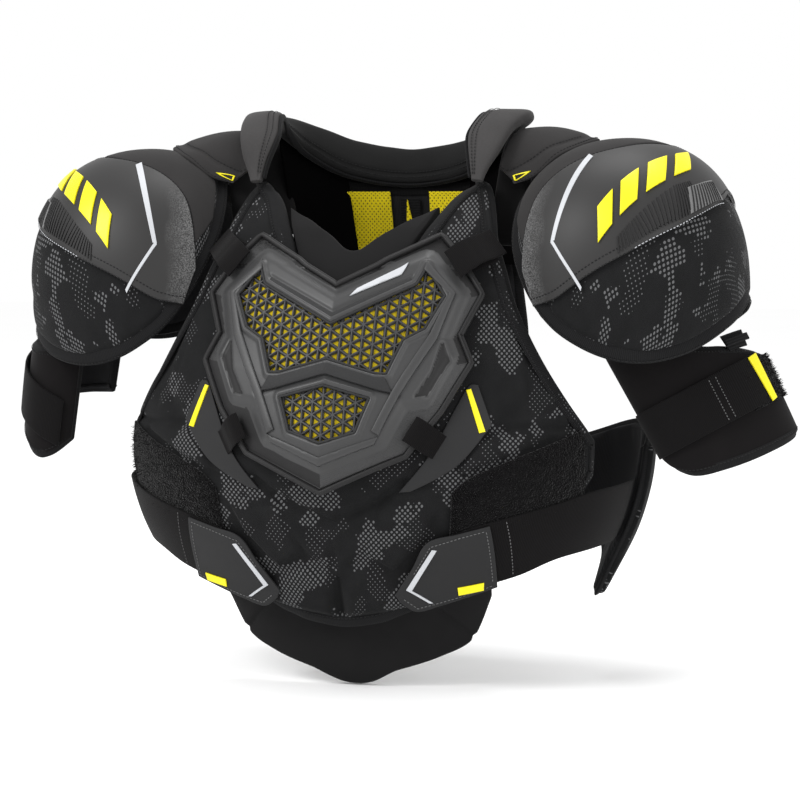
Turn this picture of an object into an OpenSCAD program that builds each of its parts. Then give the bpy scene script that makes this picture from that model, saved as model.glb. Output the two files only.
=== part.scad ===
// Ice hockey shoulder pads: a moulded front pad with a floating sternum plate, a back pad with
// side wings, a padded collar, shoulder arches, floating shoulder caps, biceps guards and straps.
// Frame: the origin is the middle of the neck at shoulder level. X points to the wearer's left,
// Y to the wearer's back and Z up. "left" and "right" are the wearer's own sides.

/* [Chest and back] */
// Half width of the chest form at its widest
chest_half_w = 214; // [209:1:218]
// Depth of the chest form in front of the shoulder line
chest_d = 178; // [174:1:182]
// Thickness of the front pad: cover, foam and lining together
front_t = 20; // [16:1:22]
// Thickness of the back pad: cover, foam and lining together
back_t = 16; // [13:1:18]
// Width of the tape that binds the edges
tape_w = 4; // [3:0.5:4.5]
// Length of the front extension pad below the front pad
extension_drop = 60; // [40:1:62]

/* [Sternum plate] */
// Height of the middle ridge over the plate's edges
ridge_h = 11; // [6:1:14]
// Wall of the plastic shell
shell_t = 3; // [2.4:0.1:3.6]

/* [Shoulder caps] */
// Half width of a cap from side to side
cap_half_w = 99; // [96:1:102]
// Half depth of a cap from front to back
cap_half_d = 106; // [102:1:108]
// Height of a cap above the middle of its dome
cap_h = 116; // [112:1:118]
// Thickness of a cap's foam, insert and cover together
cap_t = 13; // [11:1:14]
// Resting lift of the left cap in degrees
cap_lift_left = 3; // [0:0.5:4]
// Resting lift of the right cap in degrees
cap_lift_right = -2; // [-3:0.5:2]

/* [Biceps guards] */
// Half depth of a guard's inner face from front to back
guard_half_d = 57; // [54:1:58]
// Half width of a guard's inner face
guard_half_w = 30; // [28:1:31]
// Thickness of a guard's foam
guard_t = 9; // [7:1:10]
// Width of the elastic band round a guard
guard_band_w = 40; // [34:1:44]

/* [Belly straps] */
// Height of the belly strap at the side
belly_strap_w = 50; // [42:1:52]
// Thickness of the strap elastic
elastic_t = 1.8; // [1.5:0.1:2]

/* [Hidden] */

// Chest form: height, half width, depth in front, depth behind
w_scale = chest_half_w / 214;
d_scale = chest_d / 178;
FORM = [[40, 176, 4, 84], [10, 180, 20, 90], [-10, 184, 60, 96], [-40, 190, 95, 104],
    [-80, 198, 122, 110], [-130, 206, 148, 114], [-180, 213, 168, 114], [-230, 214, 178, 110],
    [-280, 203, 167, 104], [-330, 180, 146, 98], [-380, 156, 127, 94], [-440, 140, 114, 90]];
form_power = 2.3;

// Edges of the front pad from its middle outwards: across, up
FRONT_TOP = [[0, -140], [18, -130], [35, -105], [50, -71], [60, -48], [75, -21], [87, -9],
    [97, -5], [107, -27], [114, -52], [123, -74], [134, -103], [149, -132], [165, -160],
    [180, -185], [193, -207], [197, -215]];
FRONT_BOTTOM = [[0, -364], [18, -362], [32, -359], [42, -355], [54, -350], [65, -343],
    [76, -338], [88, -333], [100, -327], [112, -321], [122, -318], [138, -308], [150, -296],
    [163, -282], [178, -268], [190, -252], [196, -240]];

// Edges of the back pad from its middle outwards: angle round the form, height
BACK_TOP = [[180, -6], [168, -4], [159, 0], [156, -12], [155.5, -45], [155, -85], [154.5, -125],
    [154, -165], [148, -200], [139, -226]];
BACK_BOTTOM = [[180, -300], [171, -300], [165, -298], [162, -296], [161, -295], [160, -294],
    [159, -292], [157, -289], [150, -282], [139, -270]];

// Sternum plate: outer edge across and up, and the height of the ridge beside it
PLATE_EDGE = [[74, -56], [90, -73], [108, -100], [95, -131], [105, -152], [86, -188], [62, -220]];
PLATE_MID = [[0, -100], [0, -116], [0, -134], [0, -155], [0, -176], [0, -208], [0, -244]];
plate_in = 8;

// Rim of a cap: direction round its pole, angle down from the pole
CAP_RIM = [[0, 82], [30, 95], [55, 110], [75, 116], [95, 114], [115, 105], [140, 83], [160, 62],
    [180, 51], [200, 58], [220, 74], [245, 95], [265, 106], [285, 108], [305, 102], [330, 90],
    [360, 82]];
cap_mid = [206, -24, -92];
cap_pole = 75;
cap_power = 2.2;
cap_hinge = [138, 0, 6];

// Biceps guards: top of the arm line, tilt outwards, turn to the front, length, then the upper
// and lower edge as angle round the arm and distance down it, and the band's end and root
GUARD_LEFT = [[241, -26, -112], 28, 42, 138,
    [[-118, 74], [-80, 70], [-40, 62], [0, 46], [40, 26], [80, 14], [118, 12]],
    [[-118, 126], [-80, 134], [-40, 138], [0, 138], [40, 134], [80, 126], [118, 104]],
    [-26, 64], [102, 66]];
GUARD_RIGHT = [[261, -26, -112], 8, 4, 126,
    [[-118, 34], [-80, 32], [-40, 31], [0, 31], [40, 36], [80, 36], [118, 28]],
    [[-118, 74], [-80, 78], [-40, 84], [0, 96], [40, 114], [80, 126], [118, 108]],
    [-26, 33], [102, 76]];

// ---- general functions ----
function mix(a, b, t) = a + (b - a) * t;
function unit(v) = v / norm(v);
function blend4(p0, p1, p2, p3, t) = 0.5 * (2 * p1 + (p2 - p0) * t
    + (2 * p0 - 5 * p1 + 4 * p2 - p3) * t * t + (3 * p1 - p0 - 3 * p2 + p3) * t * t * t);
// Smooth curve through the points of a list, u from 0 to 1
function through(list, u) = let (n = len(list) - 1, i = min(floor(u * n), n - 1), t = u * n - i)
    blend4(list[max(i - 1, 0)], list[i], list[i + 1], list[min(i + 2, n)], t);
// Straight runs between the points of a list
function along(list, u) = let (n = len(list) - 1, i = min(floor(u * n), n - 1))
    mix(list[i], list[i + 1], u * n - i);
// Row of a table whose first column falls, at any height
function at_height(table, z) =
    let (n = len(table), i = max([0, for (k = [0 : n - 2]) if (z <= table[k][0]) k]),
        t = (table[i][0] - z) / (table[i][0] - table[i + 1][0]))
    blend4(table[max(i - 1, 0)], table[i], table[i + 1], table[min(i + 2, n - 1)],
        min(max(t, 0), 1));
function both(half) = concat([for (i = [len(half) - 1 : -1 : 1]) [-half[i][0], half[i][1]]], half);
function other_side(list) = [for (i = [len(list) - 1 : -1 : 0]) [-list[i][0], list[i][1]]];

// ---- chest form ----
function form(a, z) = let (r = at_height(FORM, z), s = sin(a), c = cos(a),
        d = c >= 0 ? r[2] * d_scale : r[3], e = 2 / form_power)
    [r[1] * w_scale * sign(s) * pow(abs(s), e), -d * sign(c) * pow(abs(c), e), z];
function form_out(a, z) = unit(cross(form(a + 1, z) - form(a - 1, z), form(a, z + 2) - form(a, z - 2)));
function angle_of(x, z) =
    sign(x) * asin(pow(min(abs(x) / (at_height(FORM, z)[1] * w_scale), 0.999), form_power / 2));
// Points given across and up become points given by angle and height
function front_az(list) = [for (p = list) [angle_of(p[0], p[1]), p[1]]];
function back_az(list) = [for (p = list) [180 - angle_of(p[0], p[1]), p[1]]];

// ---- sternum plate, from the chest form: u across from -1 to 1, v down from 0 to 1 ----
function plate_xz(u, v) = let (e = along(PLATE_EDGE, v), m = along(PLATE_MID, v))
    [u * e[0], mix(m[1], e[1], abs(u))];
function plate(u, v, off) = let (p = plate_xz(u, v), a = angle_of(p[0], p[1]))
    form(a, p[1]) + form_out(a, p[1]) * (off + ridge_h * (1 - abs(u)));

// ---- cap dome: point on a disc, x to the side and y to the front ----
function rim_angle(phi) = let (n = len(CAP_RIM) - 1, q = phi < 0 ? phi + 360 : phi,
        i = max([for (k = [0 : n - 1]) if (q >= CAP_RIM[k][0]) k]),
        t = (q - CAP_RIM[i][0]) / (CAP_RIM[i + 1][0] - CAP_RIM[i][0]))
    blend4(CAP_RIM[(i + n - 1) % n][1], CAP_RIM[i][1], CAP_RIM[i + 1][1],
        CAP_RIM[(i + 2) % n][1], t);
function cap(lift, p, off) =
    let (r = norm(p), phi = r > 0 ? atan2(p[1], p[0]) : 0, rho = r * rim_angle(phi),
        w = [cos(cap_pole), 0, sin(cap_pole)], side = [sin(cap_pole), 0, -cos(cap_pole)],
        d = cos(rho) * w + sin(rho) * (cos(phi) * side + sin(phi) * [0, -1, 0]),
        ax = [cap_half_w, cap_half_d, cap_h], m = cap_power,
        k = pow(pow(abs(d[0]) / ax[0], m) + pow(abs(d[1]) / ax[1], m)
            + pow(abs(d[2]) / ax[2], m), -1 / m),
        q = d * k,
        n = unit([for (i = [0 : 2]) sign(q[i]) * pow(abs(q[i]) / ax[i], m - 1) / ax[i]]))
    about_y(cap_mid + q + n * off, cap_hinge, lift);
// Turn about a line along Y, so that the outer side lifts
function about_y(p, c, a) = let (d = p - c)
    c + [d[0] * cos(a) - d[2] * sin(a), d[1], d[0] * sin(a) + d[2] * cos(a)];

// ---- biceps guard: angle round the arm from its outer side, distance down the arm ----
function guard(g, phi, s, off) =
    let (k = 1 - 0.10 * s / g[3], e = 2 / 2.2,
        x = (guard_half_w * k + off) * sign(cos(phi)) * pow(abs(cos(phi)), e),
        y = -(guard_half_d * k + off) * sign(sin(phi)) * pow(abs(sin(phi)), e),
        t = g[2],
        xr = x * cos(t) + y * sin(t), yr = -x * sin(t) + y * cos(t))
    about_y(g[0] + [xr, yr, -s], g[0], g[1]);

// A point on one of the surfaces, off millimetres outside it
function on(kind, p, off) = kind[0] == "form" ? form(p[0], p[1]) + form_out(p[0], p[1]) * off
    : kind[0] == "plate" ? plate(p[0], p[1], off)
    : kind[0] == "cap" ? cap(kind[1], p, off)
    : guard(kind[1], p[0], p[1], off);
FRONT = ["form"];
PLATE = ["plate"];

// ---- closed solids from grids of points ----
// Points between two edge curves, columns along the curves and rows from one to the other
function sheet(kind, a, b, cols, rows, off) = [for (i = [0 : cols])
    let (pa = through(a, i / cols), pb = through(b, i / cols))
        [for (j = [0 : rows]) on(kind, mix(pa, pb, j / rows), off)]];
// Edge of such a sheet, once round
function edge_of(a, b, cols, rows) = concat([for (i = [0 : cols]) through(a, i / cols)],
    [for (j = [1 : rows - 1]) mix(a[len(a) - 1], b[len(b) - 1], j / rows)],
    [for (i = [cols : -1 : 0]) through(b, i / cols)],
    [for (j = [rows - 1 : -1 : 1]) mix(a[0], b[0], j / rows)]);
function flat_list(g) = [for (row = g) for (p = row) p];
function two_triangles(q) = [[q[0], q[1], q[2]], [q[0], q[2], q[3]]];
function turned(faces, yes) = yes ? [for (f = faces) [f[2], f[1], f[0]]] : faces;

// Solid between an inner and an outer grid, without the cells that lie in a window
module slab(g0, g1, windows = []) {
    nc = len(g1) - 1;
    nr = len(g1[0]) - 1;
    size = (nc + 1) * (nr + 1);
    function there(i, j) = i >= 0 && j >= 0 && i < nc && j < nr
        && len([for (w = windows) if (i >= w[0] && i < w[1] && j >= w[2] && j < w[3]) 1]) == 0;
    function o(i, j) = size + i * (nr + 1) + j;
    function n(i, j) = i * (nr + 1) + j;
    quads = [for (i = [0 : nc - 1]) for (j = [0 : nr - 1]) if (there(i, j))
        for (q = [[o(i, j), o(i, j + 1), o(i + 1, j + 1), o(i + 1, j)],
            [n(i, j), n(i + 1, j), n(i + 1, j + 1), n(i, j + 1)],
            if (!there(i - 1, j)) [o(i, j + 1), o(i, j), n(i, j), n(i, j + 1)],
            if (!there(i + 1, j)) [o(i + 1, j), o(i + 1, j + 1), n(i + 1, j + 1), n(i + 1, j)],
            if (!there(i, j - 1)) [o(i, j), o(i + 1, j), n(i + 1, j), n(i, j)],
            if (!there(i, j + 1)) [o(i + 1, j + 1), o(i, j + 1), n(i, j + 1), n(i + 1, j + 1)]]) q];
    faces = [for (q = quads) for (t = two_triangles(q)) t];
    out = g1[0][0] - g0[0][0];
    face_out = cross(g1[0][1] - g1[0][0], g1[1][1] - g1[0][0]);
    polyhedron(concat(flat_list(g0), flat_list(g1)), turned(faces, face_out * out > 0));
}

// Solid along a row of cross-sections, open with flat ends or closed into a ring
module sweep(sections, ring = false) {
    m = len(sections[0]);
    n = len(sections);
    last = ring ? n - 1 : n - 2;
    sides = [for (i = [0 : last]) for (k = [0 : m - 1])
        let (i2 = (i + 1) % n, k2 = (k + 1) % m)
        for (t = two_triangles([i * m + k, i * m + k2, i2 * m + k2, i2 * m + k])) t];
    ends = ring ? [] : [for (k = [1 : m - 2]) for (t = [[0, k + 1, k],
        [(n - 1) * m, (n - 1) * m + k, (n - 1) * m + k + 1]]) t];
    s = sections[0];
    middle = [for (i = [0 : 2]) ([for (p = s) 1] * [for (p = s) p[i]]) / m];
    face_out = cross(s[1] - s[0], sections[1][0] - s[0]);
    polyhedron(flat_list(sections), turned(concat(sides, ends), face_out * (s[0] - middle) > 0));
}

// Pad or patch on a surface between two edge curves
module pad(kind, a, b, cols, rows, off0, off1) {
    slab(sheet(kind, a, b, cols, rows, off0), sheet(kind, a, b, cols, rows, off1));
}

// Binding tape round an edge
module tape(kind, edge, off0, off1, w, gap = 0.9) {
    n = len(edge);
    sweep([for (k = [0 : n - 1])
        let (p0 = on(kind, edge[k], off0), p1 = on(kind, edge[k], off1),
            t = unit(on(kind, edge[(k + 1) % n], off0) - on(kind, edge[(k + n - 1) % n], off0)),
            out = unit(cross(unit(p1 - p0), t)))
        [p0 + out * gap, p1 + out * gap, p1 + out * (gap + w), p0 + out * (gap + w)]], true);
}

module on_left() {
    children();
}

module on_right() {
    mirror([1, 0, 0]) children();
}

// ---- front pad ----
front_a = front_az(both(FRONT_TOP));
front_b = front_az(both(FRONT_BOTTOM));
front_cols = 32;
front_rows = 8;
skin_t = 2.5;
layer_gap = 0.3;

module front_layer(off0, off1) {
    pad(FRONT, front_a, front_b, front_cols, front_rows, off0, off1);
}

module front_liner() {
    color("#26272a") front_layer(-front_t, -front_t + skin_t);
}

module front_foam() {
    color("#3c3d3f") front_layer(-front_t + skin_t + layer_gap, -skin_t - layer_gap);
}

module front_cover() {
    color("#1c1d1f") front_layer(-skin_t, 0);
}

module front_binding() {
    color("#121214") tape(FRONT, edge_of(front_a, front_b, front_cols, front_rows),
        -front_t, 0.6, tape_w);
}

// Smooth panel that closes the V of the neck above the plate
module chest_bib() {
    top = both([[0, -58], [20, -46], [40, -33], [54, -27], [64, -22]]);
    bottom = both([[0, -129], [16, -120], [31, -97], [45, -65], [58, -36]]);
    color("#17181a") pad(FRONT, front_az(top), front_az(bottom), 16, 5, -15, -6);
}

// Fluffy patch that the belly strap's hook holds on to
loop_top = [[97, -250], [113, -237], [150, -221], [187, -204]];
loop_bottom = [[92, -290], [120, -284], [156, -273], [187, -257]];

module loop_patch_left() {
    color("#0e0e10") pad(FRONT, front_az(loop_top), front_az(loop_bottom), 8, 3, 0.9, 2.7);
}

module loop_patch_right() {
    color("#0e0e10") pad(FRONT, front_az(other_side(loop_top)), front_az(other_side(loop_bottom)),
        8, 3, 0.9, 2.7);
}

flank_top = [[62, -245], [88, -212], [104, -178], [116, -176]];
flank_bottom = [[74, -247], [98, -230], [114, -212], [124, -196]];

module flank_panels() {
    color("#2c2d30") {
        pad(FRONT, front_az(flank_top), front_az(flank_bottom), 6, 2, 0.6, 1.8);
        pad(FRONT, front_az(other_side(flank_top)), front_az(other_side(flank_bottom)),
            6, 2, 0.6, 1.8);
    }
}

module flank_bars() {
    a = [[91, -174], [103, -217]];
    b = [[95, -174], [108, -217]];
    color("#e6d813") {
        pad(FRONT, front_az(b), front_az(a), 3, 1, 2.2, 3.4);
        pad(FRONT, front_az(other_side(a)), front_az(other_side(b)), 3, 1, 2.2, 3.4);
    }
}

// ---- collar and shoulders ----
// Middle line of the collar from its left tip to the middle of the back
COLLAR = [[94, -64, -6], [96, -57, 13], [99, -42, 33], [105, -14, 47], [107, 20, 45],
    [86, 54, 33], [50, 75, 16], [0, 83, 9]];
// Direction across the collar's width at each of those points
COLLAR_ACROSS = [[1, 0.2, 0], [1, 0.2, 0.1], [1, 0.1, 0.1], [1, 0.1, -0.1], [0.85, 0.25, 0.3],
    [0.35, 0.35, 0.85], [0.1, 0.35, 0.9], [0, 0.35, 0.9]];
collar_w = 30;
collar_t = 13;
collar_rings = 28;
// Width of the tips against the rest, and how many rings they taper over
collar_tip = 0.4;
collar_taper = 5;

function out_and_back(list) = concat(list,
    [for (i = [len(list) - 2 : -1 : 0]) [-list[i][0], list[i][1], list[i][2]]]);

module collar_pad() {
    path = out_and_back(COLLAR);
    across = out_and_back(COLLAR_ACROSS);
    color("#1a1b1d") sweep([for (i = [0 : collar_rings])
        let (u = i / collar_rings, c = through(path, u),
            t = unit(through(path, min(u + 0.01, 1)) - through(path, max(u - 0.01, 0))),
            w0 = through(across, u), w = unit(w0 - t * (w0 * t)), n = cross(w, t),
            k = mix(collar_tip, 1, min(min(i, collar_rings - i) / collar_taper, 1)))
        [for (q = [0 : 36 : 324]) c + w * cos(q) * collar_w / 2 * k + n * sin(q) * collar_t / 2]]);
}

// Outer line of a shoulder arch, front to back: Y, Z; it falls towards the arm
ARCH = [[-37, -58], [-35, -34], [-30, -8], [-18, 18], [8, 34], [34, 33], [51, 16], [57, -12],
    [57, -50]];
arch_in = 104;
arch_out = 132;
arch_t = 9;

module shoulder_arch() {
    cols = 5;
    rows = 16;
    function line(x, v, off) = let (p = through(ARCH, v),
            t = through(ARCH, min(v + 0.01, 1)) - through(ARCH, max(v - 0.01, 0)),
            n = unit([-t[1], t[0]]), fall = 0.0045 * pow(x - arch_in, 2))
        [x, p[0] + n[0] * off, p[1] + n[1] * off - fall];
    function grid(off) = [for (i = [0 : cols]) [for (j = [0 : rows])
        line(mix(arch_in, arch_out, i / cols) - 10 * pow(2 * j / rows - 1, 2), j / rows, off)]];
    slab(grid(-arch_t), grid(0));
}

module shoulder_arch_left() {
    color("#1d1e20") on_left() shoulder_arch();
}

module shoulder_arch_right() {
    color("#1d1e20") on_right() shoulder_arch();
}

// Fabric strip that each cap hangs from, sewn to the top of the arch
tether_x = [122, 135];
tether_y = [-8, 36];
tether_t = 2;
// Height of the strip over the arch's crown, and the crown's fall to the arm and from front to back
tether_top = 37.6;
tether_fall = [0.0045, 0.011];
crown_y = 14;

module cap_tethers() {
    function line(x, y, off) = [x, y, tether_top - tether_fall[0] * pow(x - arch_in, 2)
        - tether_fall[1] * pow(y - crown_y, 2) + off];
    function grid(off) = [for (i = [0 : 3]) [for (j = [0 : 6])
        line(mix(tether_x[0], tether_x[1], i / 3), mix(tether_y[0], tether_y[1], j / 6), off)]];
    color("#151517") {
        on_left() slab(grid(0), grid(tether_t));
        on_right() slab(grid(0), grid(tether_t));
    }
}

// ---- back pad ----
function back_both(half) = concat([for (i = [len(half) - 1 : -1 : 1]) half[i]],
    [for (p = half) [360 - p[0], p[1]]]);
back_a = back_both(BACK_TOP);
back_b = back_both(BACK_BOTTOM);
back_cols = 16;
back_rows = 10;

module back_layer(off0, off1) {
    pad(FRONT, back_a, back_b, back_cols, back_rows, off0, off1);
}

module back_liner() {
    color("#26272a") back_layer(-back_t, -back_t + skin_t);
}

module back_foam() {
    color("#3c3d3f") back_layer(-back_t + skin_t + layer_gap, -skin_t - layer_gap);
}

module back_cover() {
    color("#1c1d1f") back_layer(-skin_t, 0);
}

module back_binding() {
    color("#121214") tape(FRONT, edge_of(back_a, back_b, back_cols, back_rows), -back_t, 0.6, tape_w);
}

// Moulded plate over the spine
module spine_plate() {
    a = back_az([[-34, -52], [-18, -40], [0, -36], [18, -40], [34, -52]]);
    b = back_az([[-22, -262], [-12, -270], [0, -273], [12, -270], [22, -262]]);
    color("#35363a") pad(FRONT, a, b, 8, 12, 1, 4);
}

// Mesh panels of the lining on both sides of the spine
module back_vents() {
    color("#d9c916") {
        pad(FRONT, back_az([[18, -14], [62, -14]]), back_az([[16, -110], [46, -110]]), 4, 6,
            -back_t - 3, -back_t - 1.3);
        pad(FRONT, back_az([[-62, -14], [-18, -14]]), back_az([[-46, -110], [-16, -110]]), 4, 6,
            -back_t - 3, -back_t - 1.3);
    }
}

// Band down the inside of the back, between the mesh panels
module back_web() {
    color("#101012") pad(FRONT, back_az([[-9, -14], [9, -14]]), back_az([[-9, -150], [9, -150]]),
        2, 7, -back_t - 3, -back_t - 1.3);
}

// Side wing: angle round the form and height of its upper and lower edge
WING_TOP = [[89, -224], [96, -213], [108, -208], [122, -212], [140, -226]];
WING_BOTTOM = [[89, -300], [92, -332], [98, -346], [112, -318], [140, -280]];
wing_in = 4;
wing_out = 15;
wing_right_turn = 14;

module wing_left() {
    color("#1c1d1f") pad(FRONT, WING_TOP, WING_BOTTOM, 12, 6, wing_in, wing_out);
}

module wing_right() {
    top = [for (p = WING_TOP) [p[0] + wing_right_turn, p[1]]];
    bottom = [for (p = WING_BOTTOM) [p[0] + wing_right_turn, p[1]]];
    color("#1c1d1f") pad(FRONT, other_side(top), other_side(bottom), 12, 6, wing_in, wing_out);
}

// ---- sternum plate ----
// Elastic that holds each corner of the plate to the front pad
module plate_strap(a, b) {
    pad(FRONT, front_az(a), front_az(b), 4, 2, 2.3, 2.3 + elastic_t);
    pad(FRONT, front_az(other_side(a)), front_az(other_side(b)), 4, 2, 2.3, 2.3 + elastic_t);
}

module plate_straps_upper() {
    color("#141416") plate_strap([[73, -64], [110, -50]], [[86, -88], [120, -71]]);
}

module plate_straps_lower() {
    color("#141416") plate_strap([[70, -201], [80, -190]], [[77, -217], [90, -206]]);
}

plate_cols = 20;
plate_rows = 18;

function plate_grid(u, v0, v1, cols, rows, off) = [for (i = [0 : cols]) [for (j = [0 : rows])
    plate(mix(-u, u, i / cols), mix(v0, v1, j / rows), off)]];

// Shell with an upper and a lower window
module sternum_shell() {
    windows = [[3, 17, 4, 10], [6, 14, 13, 16]];
    color("#3d3f42") slab(plate_grid(1, 0, 1, plate_cols, plate_rows, plate_in),
        plate_grid(1, 0, 1, plate_cols, plate_rows, plate_in + shell_t), windows);
}

// Raised lip round the shell
module sternum_rim() {
    edge = concat([for (i = [0 : plate_cols]) [mix(-1, 1, i / plate_cols), 0]],
        [for (j = [1 : plate_rows - 1]) [1, j / plate_rows]],
        [for (i = [plate_cols : -1 : 0]) [mix(-1, 1, i / plate_cols), 1]],
        [for (j = [plate_rows - 1 : -1 : 1]) [-1, j / plate_rows]]);
    color("#2b2c2f") tape(PLATE, edge, plate_in - 3, plate_in + shell_t + 1, 4, 0.4);
}

// Ribbed grid that fills the shell's windows
lattice_in = plate_in - 1.9;
lattice_out = plate_in - 0.5;

module sternum_lattice() {
    color("#46484b") {
        slab(plate_grid(0.76, 0.19, 0.58, 14, 8, lattice_in),
            plate_grid(0.76, 0.19, 0.58, 14, 8, lattice_out));
        slab(plate_grid(0.44, 0.69, 0.92, 8, 5, lattice_in),
            plate_grid(0.44, 0.69, 0.92, 8, 5, lattice_out));
    }
}

// Foam pad behind the shell
module sternum_pad() {
    color("#c9b612") slab(plate_grid(0.8, 0.12, 0.96, 12, 10, 1.2),
        plate_grid(0.8, 0.12, 0.96, 12, 10, plate_in - 2.3));
}

// Blank badge on the shell's left slope
module sternum_badge() {
    function grid(off) = [for (i = [0 : 4]) [for (j = [0 : 1])
        plate(mix(0.26, 0.74, i / 4) + 0.06 * j - 0.03, 0.03 + 0.10 * j, off)]];
    color("#c8cacc") slab(grid(plate_in + shell_t + 0.4), grid(plate_in + shell_t + 1.6));
}

// ---- front extension ----
extension_t = 11;
extension_gap = 2.4;

module extension_pad() {
    end = FRONT_BOTTOM[0][1] - extension_drop;
    a = both([[0, -312], [30, -311], [60, -308], [92, -304], [124, -298]]);
    b = both([[0, end], [42, end + 9], [78, end + 21], [106, end + 38], [124, end + 72]]);
    off1 = -front_t - extension_gap;
    color("#17181a") pad(FRONT, front_az(a), front_az(b), 16, 7, off1 - extension_t, off1);
}

// Hook strip on the front of the extension, behind the front pad
module extension_hook() {
    a = both([[0, -322], [35, -320], [70, -316]]);
    b = both([[0, -346], [35, -344], [70, -340]]);
    color("#0e0e10") pad(FRONT, front_az(a), front_az(b), 8, 2,
        -front_t - extension_gap + 0.2, -front_t - 1.2);
}

// ---- shoulder caps ----
cap_cols = 28;
cap_rings = 8;

// Closed dome from the pole to the part r of the way to the rim
module dome(lift, r, off0, off1) {
    kind = ["cap", lift];
    function rings(off) = [for (i = [1 : cap_rings]) for (k = [0 : cap_cols - 1])
        let (a = 360 * k / cap_cols, q = r * i / cap_rings) on(kind, [q * cos(a), q * sin(a)], off)];
    pts = concat([on(kind, [0, 0], off0), on(kind, [0, 0], off1)], rings(off0), rings(off1));
    size = cap_rings * cap_cols;
    function n(i, k) = 2 + (i - 1) * cap_cols + k % cap_cols;
    function o(i, k) = size + n(i, k);
    cells = [for (k = [0 : cap_cols - 1]) for (i = [1 : cap_rings - 1])
        for (q = [[o(i, k), o(i, k + 1), o(i + 1, k + 1), o(i + 1, k)],
            [n(i, k), n(i + 1, k), n(i + 1, k + 1), n(i, k + 1)]]) for (t = two_triangles(q)) t];
    poles = [for (k = [0 : cap_cols - 1])
        for (t = [[1, o(1, k + 1), o(1, k)], [0, n(1, k), n(1, k + 1)]]) t];
    wall = [for (k = [0 : cap_cols - 1]) let (m = cap_rings)
        for (t = two_triangles([o(m, k), o(m, k + 1), n(m, k + 1), n(m, k)])) t];
    polyhedron(pts, turned(concat(cells, poles, wall), true));
}

module cap_foam(lift) {
    color("#3c3d3f") dome(lift, 0.985, -cap_t, -5.8);
}

module cap_insert(lift) {
    color("#5a5c60") dome(lift, 0.8, -4.4, -2.7);
}

module cap_cover(lift) {
    color("#1c1d1f") dome(lift, 1, -1.5, 0);
}

// Smooth overlay above the seam, from the inner edge to the outer side
module cap_overlay(lift) {
    inner = [[-0.62, -0.30], [-0.66, 0.05], [-0.66, 0.36], [-0.62, 0.62], [-0.53, 0.82]];
    seam = [[0.42, -0.34], [0.47, 0.02], [0.36, 0.28], [0.16, 0.52], [-0.10, 0.74]];
    color("#303134") pad(["cap", lift], inner, seam, 14, 10, 1.2, 2.5);
}

module cap_binding(lift) {
    n = 44;
    color("#121214") tape(["cap", lift], [for (k = [0 : n - 1]) [cos(360 * k / n), sin(360 * k / n)]],
        -cap_t, 0.6, tape_w);
}

// Plain raised bars and an angled line on the overlay
module cap_trim(lift) {
    kind = ["cap", lift];
    function across(u, v) = [mix(0.17, -0.10, u) + 0.04 * v, mix(0.14, 0.60, u) + 0.10 * v];
    color("#e6d813") for (i = [0 : 3]) {
        u = 0.02 + 0.25 * i;
        pad(kind, [across(u, -0.55), across(u + 0.17, -0.55)],
            [across(u + 0.03, 0.55), across(u + 0.20, 0.55)], 3, 2, 3.1, 4.7);
    }
    color("#c8cacc") pad(kind, [[-0.20, 0.24], [-0.31, 0.66], [-0.12, 0.78]],
        [[-0.22, 0.24], [-0.34, 0.67], [-0.12, 0.81]], 10, 1, 3.1, 3.9);
}

// ---- biceps guards ----
module guard_pad(g) {
    color("#1a1b1d") pad(["guard", g], g[4], g[5], 18, 6, 0, guard_t);
}

module guard_loop(g) {
    end = g[6];
    color("#0e0e10") pad(["guard", g], [end + [-38, 4], end + [20, 2]],
        [end + [-38, guard_band_w + 2], end + [20, guard_band_w + 2]], 6, 3,
        guard_t + 0.5, guard_t + 2.2);
}

// Ribbed webbing that reaches up to the cap, and its ladder buckle
module guard_webbing(g) {
    s = along(g[4], 0.42)[1];
    color("#121214") {
        pad(["guard", g], [[-30, s - 12], [-6, s - 14]], [[-28, s + 2], [-8, s]], 3, 3,
            guard_t + 0.5, guard_t + 2);
        pad(["guard", g], [[-31, s - 8], [-6, s - 10]], [[-31, s - 2], [-6, s - 4]], 3, 1,
            guard_t + 2.4, guard_t + 4.6);
    }
}

// Elastic band from the guard's front edge round to its outer side
module guard_band(g) {
    a = [for (i = [0 : 4]) mix(g[6], g[7], i / 4)];
    b = [for (p = a) p + [0, guard_band_w]];
    color("#141416") pad(["guard", g], a, b, 12, 4, guard_t + 3, guard_t + 3 + elastic_t);
}

module guard_tag(g) {
    end = g[6];
    a = [end + [-1, 0], end + [8, 1]];
    b = [end + [-1, guard_band_w], end + [8, guard_band_w + 1]];
    color("#e6d813") pad(["guard", g], a, b, 2, 2, guard_t + 3.4 + elastic_t, guard_t + 4.6 + elastic_t);
}

// ---- belly straps ----
strap_root = 86;
strap_top = -250;
strap_off = 3.8;
band_x = [[78, -290], [108, -278], [138, -269], [170, -260], [192, -253]];

module side_band(turn) {
    low = strap_top - belly_strap_w;
    a = concat(front_az(band_x), [[strap_root, strap_top]]);
    b = concat(front_az([[78, -334], [108, -327], [138, -318], [165, -306], [188, -301]]),
        [[strap_root, low]]);
    color("#1a1a1c") pad(FRONT, turn > 0 ? a : other_side(a), turn > 0 ? b : other_side(b), 14, 3,
        strap_off, strap_off + elastic_t);
}

// Stiff tab with an angled front end
module side_tab(turn) {
    a = front_az([[47, -332], [62, -310], [76, -288], [100, -281], [122, -275]]);
    b = front_az([[50, -338], [62, -346], [80, -341], [100, -334], [122, -326]]);
    off = strap_off + elastic_t + 0.5;
    color("#2c2d30") pad(FRONT, turn > 0 ? a : other_side(a), turn > 0 ? b : other_side(b), 10, 4,
        off, off + 1.8);
}

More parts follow.
